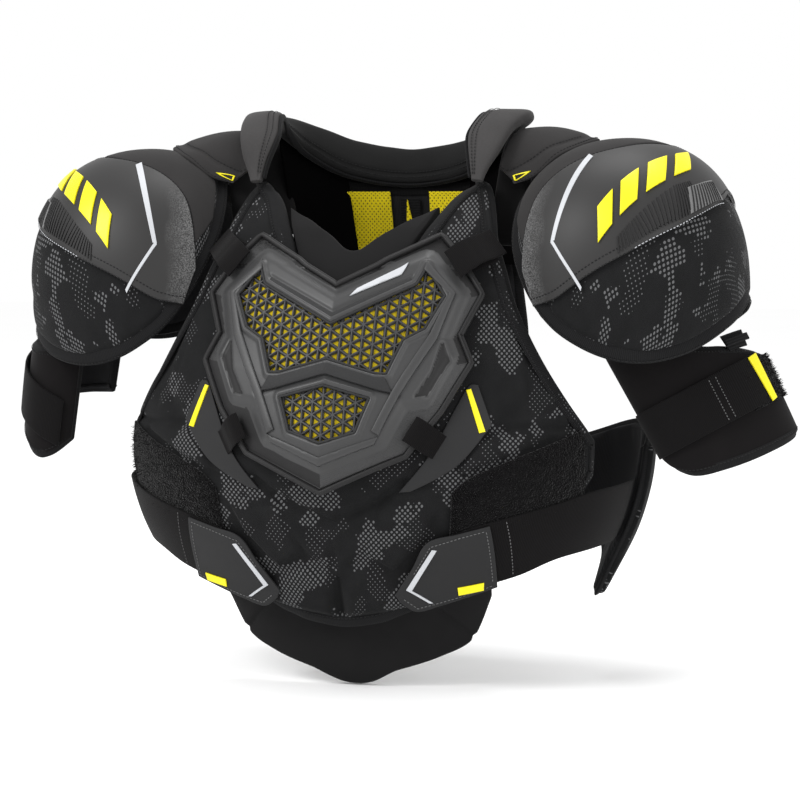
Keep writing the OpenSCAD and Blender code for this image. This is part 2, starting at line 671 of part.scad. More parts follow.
front_liner();
front_foam();
front_cover();
front_binding();
chest_bib();
loop_patch_left();
loop_patch_right();
flank_panels();
flank_bars();
collar_pad();
shoulder_arch_left();
shoulder_arch_right();
cap_tethers();
back_liner();
back_foam();
back_cover();
back_binding();
spine_plate();
back_vents();
back_web();
wing_left();
wing_right();
plate_straps_upper();
plate_straps_lower();
sternum_shell();
sternum_rim();
sternum_lattice();
sternum_pad();
sternum_badge();
extension_pad();
extension_hook();
on_left() cap_foam(cap_lift_left);  // cap_foam_left
on_left() cap_insert(cap_lift_left);  // cap_insert_left
on_left() cap_cover(cap_lift_left);  // cap_cover_left
on_left() cap_overlay(cap_lift_left);  // cap_overlay_left
on_left() cap_binding(cap_lift_left);  // cap_binding_left
on_left() cap_trim(cap_lift_left);  // cap_trim_left
on_right() cap_foam(cap_lift_right);  // cap_foam_right
on_right() cap_insert(cap_lift_right);  // cap_insert_right
on_right() cap_cover(cap_lift_right);  // cap_cover_right
on_right() cap_overlay(cap_lift_right);  // cap_overlay_right
on_right() cap_binding(cap_lift_right);  // cap_binding_right
on_right() cap_trim(cap_lift_right);  // cap_trim_right
on_left() guard_pad(GUARD_LEFT);  // guard_pad_left
on_left() guard_loop(GUARD_LEFT);  // guard_loop_left
on_left() guard_webbing(GUARD_LEFT);  // guard_webbing_left
on_left() guard_band(GUARD_LEFT);  // guard_band_left
on_left() guard_tag(GUARD_LEFT);  // guard_tag_left
on_right() guard_pad(GUARD_RIGHT);  // guard_pad_right
on_right() guard_loop(GUARD_RIGHT);  // guard_loop_right
on_right() guard_webbing(GUARD_RIGHT);  // guard_webbing_right
on_right() guard_band(GUARD_RIGHT);  // guard_band_right
on_right() guard_tag(GUARD_RIGHT);  // guard_tag_right
side_band(1);  // side_band_left
side_tab(1);  // side_tab_left
side_band(-1);  // side_band_right
side_tab(-1);  // side_tab_right
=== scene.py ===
"""Looks for the ice hockey shoulder pads.

Lengths are in millimetres until a mesh is made, which is in metres.
"""
import math

import bpy
import bmesh
import numpy as np
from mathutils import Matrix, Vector


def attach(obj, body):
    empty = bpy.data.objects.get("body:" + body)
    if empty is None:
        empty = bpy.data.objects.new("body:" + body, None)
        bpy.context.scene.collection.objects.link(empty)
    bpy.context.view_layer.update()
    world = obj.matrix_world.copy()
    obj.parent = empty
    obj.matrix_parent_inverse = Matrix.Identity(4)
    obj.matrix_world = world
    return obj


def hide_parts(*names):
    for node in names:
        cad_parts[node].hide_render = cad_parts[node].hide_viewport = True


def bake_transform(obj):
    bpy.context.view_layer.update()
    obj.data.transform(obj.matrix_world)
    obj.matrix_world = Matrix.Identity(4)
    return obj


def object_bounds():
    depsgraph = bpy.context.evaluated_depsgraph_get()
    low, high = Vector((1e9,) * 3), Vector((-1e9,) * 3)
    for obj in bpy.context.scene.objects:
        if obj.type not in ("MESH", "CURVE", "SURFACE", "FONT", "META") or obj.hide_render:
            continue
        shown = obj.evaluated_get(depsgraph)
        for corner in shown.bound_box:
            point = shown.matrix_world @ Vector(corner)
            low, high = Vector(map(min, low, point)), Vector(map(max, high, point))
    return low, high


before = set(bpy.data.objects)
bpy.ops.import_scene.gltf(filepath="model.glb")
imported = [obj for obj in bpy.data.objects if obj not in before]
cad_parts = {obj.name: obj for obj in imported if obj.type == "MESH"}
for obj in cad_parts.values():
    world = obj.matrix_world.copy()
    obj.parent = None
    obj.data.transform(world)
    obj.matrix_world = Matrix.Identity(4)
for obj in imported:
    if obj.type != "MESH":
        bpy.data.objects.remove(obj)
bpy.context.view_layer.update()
MM = 0.001

# ---------------------------------------------------------------- camera
CAMERA_TARGET = Vector((12, 0, -190)) * MM
CAMERA_AZIMUTH, CAMERA_ELEVATION = math.radians(15), math.radians(4)
CAMERA_DISTANCE = 2.2
CAMERA_LENS = 116.5


def make_camera():
    data = bpy.data.cameras.new("camera")
    data.lens, data.sensor_width = CAMERA_LENS, 36
    camera = bpy.data.objects.new("camera", data)
    bpy.context.scene.collection.objects.link(camera)
    flat, up = math.cos(CAMERA_ELEVATION), math.sin(CAMERA_ELEVATION)
    back = Vector((math.sin(CAMERA_AZIMUTH) * flat, -math.cos(CAMERA_AZIMUTH) * flat, up))
    camera.location = CAMERA_TARGET + back * CAMERA_DISTANCE
    camera.rotation_mode = "QUATERNION"
    camera.rotation_quaternion = (-back).to_track_quat("-Z", "Y")
    bpy.context.scene.camera = camera


make_camera()


# ---------------------------------------------------------------- curves
def catmull(p0, p1, p2, p3, t):
    return 0.5 * (2 * p1 + (p2 - p0) * t + (2 * p0 - 5 * p1 + 4 * p2 - p3) * t * t
                  + (3 * p1 - p0 - 3 * p2 + p3) * t ** 3)


def through(points, u):
    """Smooth curve through points, u from 0 to 1."""
    p = np.asarray(points, float)
    n = len(p) - 1
    s = np.atleast_1d(np.asarray(u, float)) * n
    i = np.clip(np.floor(s).astype(int), 0, n - 1)
    return catmull(p[np.maximum(i - 1, 0)], p[i], p[i + 1], p[np.minimum(i + 2, n)], (s - i)[:, None])


def along(points, u):
    """Straight runs between points, u from 0 to 1."""
    p = np.asarray(points, float)
    s = np.atleast_1d(np.asarray(u, float)) * (len(p) - 1)
    i = np.clip(np.floor(s).astype(int), 0, len(p) - 2)
    return p[i] + (p[i + 1] - p[i]) * (s - i)[:, None]


def unit(v):
    return v / np.maximum(np.linalg.norm(v, axis=-1, keepdims=True), 1e-9)


def rounding(radius, d):
    """Drop of a rounded border at the distance d from its edge."""
    return radius - np.sqrt(np.maximum(radius ** 2 - np.maximum(radius - d, 0) ** 2, 0))


def travelled(points):
    """Distance from the first point to each point of a line."""
    return np.concatenate([[0], np.cumsum(np.linalg.norm(np.diff(points, axis=0), axis=1))])


def both(half):
    return [(-x, z) for x, z in half[:0:-1]] + list(half)


def other_side(points):
    return [(-x, z) for x, z in points[::-1]]


def smooth(x, lo, hi):
    t = np.clip((x - lo) / (hi - lo), 0, 1)
    return t * t * (3 - 2 * t)


def noise(p, size, seed=0):
    """Smooth noise from -1 to 1 over points p, with features about size across."""
    q = np.asarray(p, float) / size
    i = np.floor(q).astype(np.int64)
    f = q - i
    f = f * f * (3 - 2 * f)
    total = np.zeros(len(q))
    for corner in range(2 ** q.shape[1]):
        bits = [(corner >> k) & 1 for k in range(q.shape[1])]
        h = np.full(len(q), seed * 7919 + 11, np.int64)
        w = np.ones(len(q))
        for k, b in enumerate(bits):
            h = (h * 73856093 ^ ((i[:, k] + b) * (19349663 + 2 * k * 83492791))) & 0x7FFFFFFF
            w = w * (f[:, k] if b else 1 - f[:, k])
        total += w * (((h * 1103515245 + 12345) >> 8 & 0xFFFF) / 32767.5 - 1)
    return total


# ---------------------------------------------------------------- surfaces
FORM = np.array([
    [40, 176, 4, 84], [10, 180, 20, 90], [-10, 184, 60, 96], [-40, 190, 95, 104],
    [-80, 198, 122, 110], [-130, 206, 148, 114], [-180, 213, 168, 114], [-230, 214, 178, 110],
    [-280, 203, 167, 104], [-330, 180, 146, 98], [-380, 156, 127, 94], [-440, 140, 114, 90]], float)
FORM_POWER = 2.3


def form_row(z):
    top, n = FORM[:, 0], len(FORM)
    i = np.clip(np.searchsorted(-top, -z, side="right") - 1, 0, n - 2)
    t = np.clip((top[i] - z) / (top[i] - top[i + 1]), 0, 1)[:, None]
    return catmull(FORM[np.maximum(i - 1, 0)], FORM[i], FORM[i + 1], FORM[np.minimum(i + 2, n - 1)], t)


def form(a, z):
    row, s, c, e = form_row(z), np.sin(np.radians(a)), np.cos(np.radians(a)), 2 / FORM_POWER
    depth = np.where(c >= 0, row[:, 2], row[:, 3])
    return np.stack([row[:, 1] * np.sign(s) * np.abs(s) ** e, -depth * np.sign(c) * np.abs(c) ** e, z], 1)


def chest(p, off=0.0):
    """Chest form: p is (angle from the front, height)."""
    a, z = p[:, 0], p[:, 1]
    out = unit(np.cross(form(a + 1, z) - form(a - 1, z), form(a, z + 2) - form(a, z - 2)))
    return form(a, z) + out * np.reshape(off, (-1, 1))


def angle_of(x, z):
    share = np.minimum(np.abs(x) / form_row(z)[:, 1], 0.999)
    return np.sign(x) * np.degrees(np.arcsin(share ** (FORM_POWER / 2)))


def front_az(points):
    p = np.asarray(points, float)
    return np.stack([angle_of(p[:, 0], p[:, 1]), p[:, 1]], 1)


def back_az(points):
    p = np.asarray(points, float)
    return np.stack([180 - angle_of(p[:, 0], p[:, 1]), p[:, 1]], 1)


ARC_A = np.linspace(0, 360, 1441)
ARC_P = form(ARC_A, np.full(1441, -200.0))
ARC_S = travelled(ARC_P)


def chest_uv(p):
    """Distance round the chest, and height, both in millimetres."""
    return np.stack([np.sign(p[:, 0]) * np.interp(np.abs(p[:, 0]), ARC_A, ARC_S), p[:, 1]], 1)


PLATE_EDGE = [(74, -56), (90, -73), (108, -100), (95, -131), (105, -152), (86, -188), (62, -220)]
PLATE_MID = [(0, -100), (0, -116), (0, -134), (0, -155), (0, -176), (0, -208), (0, -244)]
RIDGE = 11


def plate_xz(p):
    edge, mid, u = along(PLATE_EDGE, p[:, 1]), along(PLATE_MID, p[:, 1]), p[:, 0]
    return np.stack([u * edge[:, 0], mid[:, 1] + (edge[:, 1] - mid[:, 1]) * np.abs(u)], 1)


def plate(p, off=0.0):
    """Sternum plate: p is (across from -1 to 1, down from 0 to 1)."""
    q = plate_xz(p)
    return chest(front_az(q), off + RIDGE * (1 - np.abs(p[:, 0])))


PLATE_V = np.linspace(0, 1, 481)
PLATE_EDGES, PLATE_MIDS = along(PLATE_EDGE, PLATE_V), along(PLATE_MID, PLATE_V)


def plate_uv(points):
    """Across and down on the plate of points given as (x, z)."""
    q = np.atleast_2d(np.asarray(points, float))
    u = q[:, :1] / PLATE_EDGES[None, :, 0]
    z = PLATE_MIDS[None, :, 1] + (PLATE_EDGES[None, :, 1] - PLATE_MIDS[None, :, 1]) * np.abs(u)
    k = np.argmin(np.abs(z - q[:, 1:]), axis=1)
    return np.stack([u[np.arange(len(q)), k], PLATE_V[k]], 1)


CAP_RIM = [(0, 82), (30, 95), (55, 110), (75, 116), (95, 114), (115, 105), (140, 83), (160, 62), (180, 51),
           (200, 58), (220, 74), (245, 95), (265, 106), (285, 108), (305, 102), (330, 90)]
CAP_MID, CAP_AXES = np.array([206, -24, -92.0]), np.array([99, 106, 116.0])
CAP_POLE, CAP_POWER = 75, 2.2
CAP_HINGE = np.array([138, 0, 6.0])
CAP_MM = 150


def rim_angle(phi):
    n = len(CAP_RIM)
    at = np.array([r[0] for r in CAP_RIM] + [360], float)
    rim = np.array([r[1] for r in CAP_RIM], float)
    i = np.clip(np.searchsorted(at, phi % 360, side="right") - 1, 0, n - 1)
    t = (phi % 360 - at[i]) / (at[i + 1] - at[i])
    return catmull(rim[(i - 1) % n], rim[i], rim[(i + 1) % n], rim[(i + 2) % n], t)


def about_y(p, c, angle):
    d, s, k = p - c, math.sin(math.radians(angle)), math.cos(math.radians(angle))
    return c + np.stack([d[:, 0] * k - d[:, 2] * s, d[:, 1], d[:, 0] * s + d[:, 2] * k], 1)


def cap(lift):
    """Shoulder cap dome: p is on a unit disc, (outwards, to the front)."""
    def surface(p, off=0.0):
        r, phi = np.linalg.norm(p, axis=1), np.degrees(np.arctan2(p[:, 1], p[:, 0]))
        rho, ph = np.radians(r * rim_angle(phi)), np.radians(phi)
        sp, cp = math.sin(math.radians(CAP_POLE)), math.cos(math.radians(CAP_POLE))
        up, side, front = np.array([cp, 0, sp]), np.array([sp, 0, -cp]), np.array([0, -1, 0])
        turn = np.cos(ph)[:, None] * side + np.sin(ph)[:, None] * front
        d = np.cos(rho)[:, None] * up + np.sin(rho)[:, None] * turn
        q = d * (np.abs(d / CAP_AXES) ** CAP_POWER).sum(1, keepdims=True) ** (-1 / CAP_POWER)
        n = unit(np.sign(q) * np.abs(q / CAP_AXES) ** (CAP_POWER - 1) / CAP_AXES)
        return about_y(CAP_MID + q + n * np.reshape(off, (-1, 1)), CAP_HINGE, lift)
    return surface


def cap_uv(p):
    return p * CAP_MM


GUARD_LEFT = dict(top=np.array([241, -26, -112.0]), tilt=28, turn=42, length=138,
                  a=[(-118, 74), (-80, 70), (-40, 62), (0, 46), (40, 26), (80, 14), (118, 12)],
                  b=[(-118, 126), (-80, 134), (-40, 138), (0, 138), (40, 134), (80, 126), (118, 104)],
                  end=(-26, 64), root=(102, 66))
GUARD_RIGHT = dict(top=np.array([261, -26, -112.0]), tilt=8, turn=4, length=126,
                   a=[(-118, 34), (-80, 32), (-40, 31), (0, 31), (40, 36), (80, 36), (118, 28)],
                   b=[(-118, 74), (-80, 78), (-40, 84), (0, 96), (40, 114), (80, 126), (118, 108)],
                   end=(-26, 33), root=(102, 76))
GUARD_HALF_W, GUARD_HALF_D = 30, 57


def guard(g):
    """Biceps guard sleeve: p is (angle round the arm from its outer side, distance down the arm)."""
    def surface(p, off=0.0):
        phi, s, e = np.radians(p[:, 0]), p[:, 1], 2 / 2.2
        k = 1 - 0.10 * s / g["length"]
        x = (GUARD_HALF_W * k + off) * np.sign(np.cos(phi)) * np.abs(np.cos(phi)) ** e
        y = -(GUARD_HALF_D * k + off) * np.sign(np.sin(phi)) * np.abs(np.sin(phi)) ** e
        t = math.radians(g["turn"])
        turned = np.stack([x * math.cos(t) + y * math.sin(t), -x * math.sin(t) + y * math.cos(t), -s], 1)
        return about_y(g["top"] + turned, g["top"], g["tilt"])
    return surface


def guard_uv(p):
    return np.stack([p[:, 0] * 0.95, p[:, 1]], 1)


def mirrored(surface):
    def other(p, off=0.0):
        return surface(p, off) * np.array([-1, 1, 1])
    return other


def sided(surface, turn):
    """The surface itself on the wearer's left, its mirror image on the right."""
    return surface if turn > 0 else mirrored(surface)


def shifted(surface, p, vec, off):
    """The parameters of the point that lies vec away from p along the surface."""
    step = np.maximum(np.abs(p).max(0) * 1e-4, 1e-4)
    base = surface(p, off)
    du = (surface(p + [step[0], 0], off) - base) / step[0]
    dv = (surface(p + [0, step[1]], off) - base) / step[1]
    uu, uv, vv = (du * du).sum(1), (du * dv).sum(1), (dv * dv).sum(1)
    bu, bv = (du * vec).sum(1), (dv * vec).sum(1)
    det = np.maximum(uu * vv - uv * uv, 1e-12)
    return p + np.stack([(bu * vv - bv * uv) / det, (bv * uu - bu * uv) / det], 1)


# ---------------------------------------------------------------- meshes
def make(name, verts, faces, material, uv=None, inner=None, face_inner=None, outer=None, flat=False):
    """Mesh object from millimetre points. inner is the material of the faces marked in face_inner."""
    mesh = bpy.data.meshes.new(name)
    mesh.from_pydata((np.asarray(verts) * MM).tolist(), [], [list(map(int, f)) for f in faces])
    if uv is not None:
        layer = mesh.uv_layers.new(name="cloth")
        loops = np.zeros(len(mesh.loops), np.int32)
        mesh.loops.foreach_get("vertex_index", loops)
        layer.data.foreach_set("uv", (np.asarray(uv, float)[loops] * MM).astype(np.float32).ravel())
    mesh.materials.append(material)
    if inner is not None:
        mesh.materials.append(inner)
        mesh.polygons.foreach_set("material_index", np.asarray(face_inner, np.int32))
    mesh.polygons.foreach_set("use_smooth", [not flat] * len(mesh.polygons))
    bm = bmesh.new()
    bm.from_mesh(mesh)
    bmesh.ops.recalc_face_normals(bm, faces=bm.faces)
    bm.to_mesh(mesh)
    bm.free()
    mesh.update()
    obj = bpy.data.objects.new(name, mesh)
    bpy.context.scene.collection.objects.link(obj)
    if outer is not None:
        group = obj.vertex_groups.new(name="outer")
        weights = np.asarray(outer, float)
        for w in np.unique(weights[weights > 0]):
            group.add(np.where(weights == w)[0].tolist(), float(w), "REPLACE")
    return obj


def on_body(obj, body, replaces=()):
    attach(obj, body)
    if replaces:
        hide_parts(*([replaces] if isinstance(replaces, str) else replaces))
    return obj


def spaced(cells, edge):
    """Samples from 0 to 1 that crowd within edge of both ends, where the form is rounded."""
    k = 1 - np.cos(np.linspace(0, np.pi / 2, 5))
    return np.concatenate([edge * k, np.linspace(edge, 1 - edge, cells)[1:-1], 1 - edge * k[::-1]])


def grid_faces(nc, nr, start=0):
    i, j = np.meshgrid(np.arange(nc), np.arange(nr), indexing="ij")
    a = start + i * (nr + 1) + j
    return np.stack([a, a + nr + 1, a + nr + 2, a + 1], -1).reshape(-1, 4)


def rim_loop(nc, nr):
    """Grid indices once round the border."""
    g = np.arange((nc + 1) * (nr + 1)).reshape(nc + 1, nr + 1)
    return np.concatenate([g[:, 0], g[-1, 1:], g[-2::-1, -1], g[0, -2:0:-1]])


def panel(name, surface, a, b, cell, off0, off1, material, radius=1.0, crown=0.0, uv=None, inner=None,
          curve=through, relief=None):
    """Closed pad between two edge curves, rounded at its rim and crowned in the middle."""
    ends = np.stack([np.asarray(a, float), np.asarray(b, float)])
    probe = np.linspace(0, 1, 25)
    mid = (curve(ends[0], probe) + curve(ends[1], probe)) / 2
    width = np.linalg.norm(np.diff(surface(mid, off1), axis=0), axis=1).sum()
    across = surface(curve(ends[0], probe), off1) - surface(curve(ends[1], probe), off1)
    tall = max(np.median(np.linalg.norm(across, axis=1)), 2.0)
    radius = min(radius, (off1 - off0) / 2 * 0.98)
    us = spaced(max(int(width / cell), 4), min(max(radius, 0.6) / width, 0.2))
    vs = spaced(max(int(tall / cell), 4), min(max(radius, 0.6) / tall, 0.3))
    nc, nr = len(us) - 1, len(vs) - 1
    pa, pb = curve(ends[0], us), curve(ends[1], us)
    p = (pa[:, None] + (pb - pa)[:, None] * vs[None, :, None]).reshape(-1, 2)
    uu, vv = np.repeat(us, nr + 1), np.tile(vs, nc + 1)
    d = np.minimum(np.minimum(uu, 1 - uu) * width, np.minimum(vv, 1 - vv) * tall)
    drop = rounding(radius, d)
    swell = crown * (1 - (1 - np.minimum(d / max(tall * 0.5, 1), 1)) ** 2)
    extra = relief(p, d) if relief is not None else 0
    n = len(p)
    verts = np.concatenate([surface(p, off1 - drop + swell + extra), surface(p, off0 + drop)])
    loop = rim_loop(nc, nr)
    nxt = np.roll(loop, -1)
    wall = np.stack([loop, nxt, nxt + n, loop + n], 1)
    faces = np.concatenate([grid_faces(nc, nr), grid_faces(nc, nr, n), wall])
    coords = np.tile(uv(p) if uv is not None else np.stack([uu * width, vv * tall], 1), (2, 1))
    marks = np.concatenate([np.zeros(nc * nr), np.ones(nc * nr), np.zeros(len(wall))])
    return make(name, verts, faces, material, coords, inner, marks if inner is not None else None,
                np.concatenate([np.ones(n), np.zeros(n)]))


SQUARE = [(0, 0), (1, 0)], [(0, 1), (1, 1)]  # both edges of a surface whose parameters run from 0 to 1


def strip(surface, a, b, cell, off0, off1, material, radius, crown=0.0, uv=None, name="part"):
    """Thin panel between two straight or angled edges, usually one of several that are joined."""
    return panel(name, surface, a, b, cell, off0, off1, material, radius, crown, uv, curve=along)


def tube(name, sections, material, ring=False):
    """Solid through a row of closed sections, with flat ends unless it is a ring."""
    s = np.asarray(sections, float)
    n, m = s.shape[:2]
    i, k = np.meshgrid(np.arange(n if ring else n - 1), np.arange(m), indexing="ij")
    faces = [f for f in np.stack([i * m + k, i * m + (k + 1) % m, (i + 1) % n * m + (k + 1) % m,
                                  (i + 1) % n * m + k], -1).reshape(-1, 4)]
    if not ring:
        faces += [list(range(m))[::-1], [(n - 1) * m + k for k in range(m)]]
    uv = np.stack([np.repeat(travelled(s.mean(1)), m), np.tile(travelled(s[0]), n)], 1)
    return make(name, s.reshape(-1, 3), faces, material, uv)


def edge_path(a, b, cols, rows):
    """Parameters once round the edge between two curves."""
    t, r = np.linspace(0, 1, cols + 1), np.linspace(0, 1, rows + 1)[1:-1, None]
    a, b = np.asarray(a, float), np.asarray(b, float)
    return np.concatenate([through(a, t), a[-1] + (b[-1] - a[-1]) * r, through(b, t[::-1]),
                           b[0] + (a[0] - b[0]) * r])


def edge_outward(surface, edge, off):
    """Directions that point out of a closed edge, along the surface."""
    p = surface(edge, off)
    n = unit(surface(edge, off + 1.0) - p)
    out = unit(np.cross(n, unit(np.roll(p, -1, 0) - np.roll(p, 1, 0))))
    return -out if (out * (p - p.mean(0))).sum() < 0 else out


TAPE_WALL, TAPE_SEAM = 1.1, 1.6  # thickness of a tape, and its seam's distance from the tape's border


def binding(name, surface, edge, off0, off1, width=4.9, lap=6.0, squeeze=0.0):
    """Folded tape round an edge, lapping over both faces. Returns the tape and its stitch line."""
    out, wall = edge_outward(surface, edge, (off0 + off1) / 2), TAPE_WALL
    lo, hi = off0 + squeeze, off1 - squeeze
    inset = shifted(surface, edge, -out * lap, hi)
    half = shifted(surface, edge, -out * lap / 2, hi)

    def at(share, off):
        base = surface(edge, off)
        return base + out * width * share

    rows = [surface(inset, off1 + wall * 0.75), surface(half, off1 + wall - squeeze * 0.25),
            at(0, hi + wall * 0.9), at(0.6, hi + wall * 0.1), at(0.92, hi * 0.75 + lo * 0.25),
            at(1.0, (lo + hi) / 2), at(0.92, lo * 0.75 + hi * 0.25), at(0.6, lo - wall * 0.1),
            at(0, lo - wall * 0.9),
            surface(inset, off0 - wall * 0.75), surface(inset, off0 + 0.6), at(-0.1, lo + 0.3),
            at(0.2, (lo + hi) / 2), at(-0.1, hi - 0.3), surface(inset, off1 - 0.6)]
    tape = tube(name, np.stack(rows, 1), M["binding"], ring=True)
    line = shifted(surface, edge, -out * (lap - TAPE_SEAM), hi)
    return tape, (surface(line, off1 + wall * 0.95), unit(surface(line, off1 + 2) - surface(line, off1)))


def bound_edge(body, name, seam_name, replaces, *args, **kwargs):
    """Binding tape round an edge, and the thread along it, on a body."""
    tape, line = binding(name, *args, **kwargs)
    on_body(tape, body, replaces)
    on_body(stitches(seam_name, [line], M["thread"]), body)


STITCH = np.array([[-0.5, 0, -0.6], [-0.32, 0.5, 0.1], [-0.32, 0, 0.75], [-0.32, -0.5, 0.1], [0.32, 0.5, 0.1],
                   [0.32, 0, 0.75], [0.32, -0.5, 0.1], [0.5, 0, -0.6], [-0.32, 0, -0.6], [0.32, 0, -0.6]])
STITCH_FACES = [(0, 2, 1), (0, 3, 2), (1, 2, 5, 4), (2, 3, 6, 5), (7, 4, 5), (7, 5, 6), (0, 1, 8), (0, 8, 3),
                (1, 4, 9, 8), (3, 8, 9, 6), (7, 9, 4), (7, 6, 9)]


THREAD_WIDTH, THREAD_HEIGHT = 0.8, 0.44


def at_distance(at, s, rows):
    """Rows interpolated at distances, s being the distance of each row."""
    return np.stack([np.interp(at, s, rows[:, k]) for k in range(3)], 1)


def stitches(name, lines, material, pitch=3.2, length=2.3, closed=True):
    """Thread that shows as one short bar in each pitch along lines of (points, normals)."""
    verts, faces = [], []
    for points, normals in lines:
        p = np.vstack([points, points[:1]]) if closed else points
        n = np.vstack([normals, normals[:1]]) if closed else normals
        s = travelled(p)
        at = np.arange(pitch / 2, s[-1] - pitch / 4, pitch)
        mid, up = at_distance(at, s, p), unit(at_distance(at, s, n))
        ahead, behind = np.minimum(at + 1, s[-1]), np.maximum(at - 1, 0)
        t = unit(at_distance(ahead, s, p) - at_distance(behind, s, p))
        side = unit(np.cross(up, t))
        v = (mid[:, None] + t[:, None] * STITCH[None, :, :1] * length
             + side[:, None] * STITCH[None, :, 1:2] * THREAD_WIDTH
             + up[:, None] * STITCH[None, :, 2:] * THREAD_HEIGHT)
        base = sum(len(x) for x in verts)
        verts.append(v.reshape(-1, 3))
        for k in range(len(at)):
            faces += [[base + k * len(STITCH) + i for i in f] for f in STITCH_FACES]
    v = np.concatenate(verts)
    return make(name, v, faces, material, v[:, [0, 2]])


def seam_line(surface, points, off, samples=80, curve=through):
    """A stitch line across a surface: (points, normals)."""
    q = curve(points, np.linspace(0, 1, samples))
    p = surface(q, off)
    return p, unit(surface(q, off + 1.0) - p)


def distance_to(p, line):
    """Distance of 2D points from a polyline."""
    best = np.full(len(p), 1e9)
    for q0, q1 in zip(np.asarray(line[:-1], float), np.asarray(line[1:], float)):
        d = q1 - q0
        t = np.clip(((p - q0) @ d) / (d @ d), 0, 1)
        best = np.minimum(best, np.linalg.norm(p - q0 - t[:, None] * d, axis=1))
    return best


OUTLINE_INNER = 0.62  # size of the outline's inner edge, as a share of its outer one


def outline(surface, corners, off0, off1, material):
    """Thin closed outline through the corners."""
    p = np.asarray(corners, float)
    q = p.mean(0) + (p - p.mean(0)) * OUTLINE_INNER
    following = np.roll(np.arange(len(p)), -1)
    return [strip(surface, p[[i, j]], q[[i, j]], 2, off0, off1, material, 0.4)
            for i, j in enumerate(following)]


def inside(p, polygon):
    """Signed distance of 2D points from a polygon's edge, positive inside."""
    poly = np.asarray(polygon, float)
    hit = np.zeros(len(p), bool)
    for (x0, y0), (x1, y1) in zip(poly, np.roll(poly, -1, 0)):
        if y0 != y1:
            cross = (p[:, 1] > min(y0, y1)) & (p[:, 1] <= max(y0, y1))
            hit ^= cross & (p[:, 0] < x0 + (p[:, 1] - y0) * (x1 - x0) / (y1 - y0))
    return distance_to(p, np.vstack([poly, poly[:1]])) * np.where(hit, 1, -1)


# ---------------------------------------------------------------- soft shaping
CLOTH_STIFFNESS, CLOTH_BENDING, CLOTH_FRAMES = 15.0, 0.5, 20


def inflate(obj, pressure, limit):
    """Blows a closed pad up with Cloth and keeps the result, up to limit millimetres from where it was.

    Vertices in the group hold stay put.
    """
    rest = np.array([v.co for v in obj.data.vertices])
    cloth = obj.modifiers.new("Cloth", "CLOTH")
    s = cloth.settings
    s.quality = 5
    s.use_pressure = True
    s.uniform_pressure_force = pressure
    s.tension_stiffness = s.compression_stiffness = s.shear_stiffness = CLOTH_STIFFNESS
    s.bending_stiffness = CLOTH_BENDING
    s.effector_weights.gravity = 0
    if "hold" in obj.vertex_groups:
        s.vertex_group_mass = "hold"
    cloth.collision_settings.use_collision = False
    cloth.collision_settings.use_self_collision = False
    scene = bpy.context.scene
    for f in range(1, CLOTH_FRAMES + 1):
        scene.frame_set(f)
    done = obj.evaluated_get(bpy.context.evaluated_depsgraph_get())
    now = np.array([v.co for v in done.data.vertices])
    obj.modifiers.remove(cloth)
    scene.frame_set(1)
    move = now - rest
    size = np.linalg.norm(move, axis=1, keepdims=True)
    now = rest + move * np.minimum(1, limit * MM / np.maximum(size, 1e-9))
    obj.data.vertices.foreach_set("co", now.astype(np.float32).ravel())
    obj.data.update()
    return obj


def finer(obj):
    """One subdivision, applied."""
    mod = obj.modifiers.new("finer", "SUBSURF")
    mod.levels = mod.render_levels = 1
    mesh = bpy.data.meshes.new_from_object(obj.evaluated_get(bpy.context.evaluated_depsgraph_get()))
    obj.modifiers.remove(mod)
    old, obj.data = obj.data, mesh
    mesh.name = obj.name
    bpy.data.meshes.remove(old)
    return obj


def outer_weight(obj):
    index = obj.vertex_groups["outer"].index
    return np.array([next((g.weight for g in v.groups if g.group == index), 0.0) for v in obj.data.vertices])


def displace(obj, height):
    """Moves the outer face along its normals by height(points in mm), in millimetres."""
    mesh = obj.data
    co = np.array([v.co for v in mesh.vertices]) / MM
    no = np.array([v.normal for v in mesh.vertices])
    co = co + no * (height(co) * outer_weight(obj))[:, None]
    mesh.vertices.foreach_set("co", (co * MM).astype(np.float32).ravel())
    mesh.update()
    return obj


def hold(obj, keep):
    """Puts the vertices for which keep(points in mm) is true in the group that the simulation holds."""
    co = np.array([v.co for v in obj.data.vertices]) / MM
    group = obj.vertex_groups.new(name="hold")
    group.add(np.where(keep(co))[0].tolist(), 1.0, "REPLACE")
    return obj


# ---------------------------------------------------------------- materials
WAVE_PERIOD = 0.314
DIAGONAL = math.radians(45)


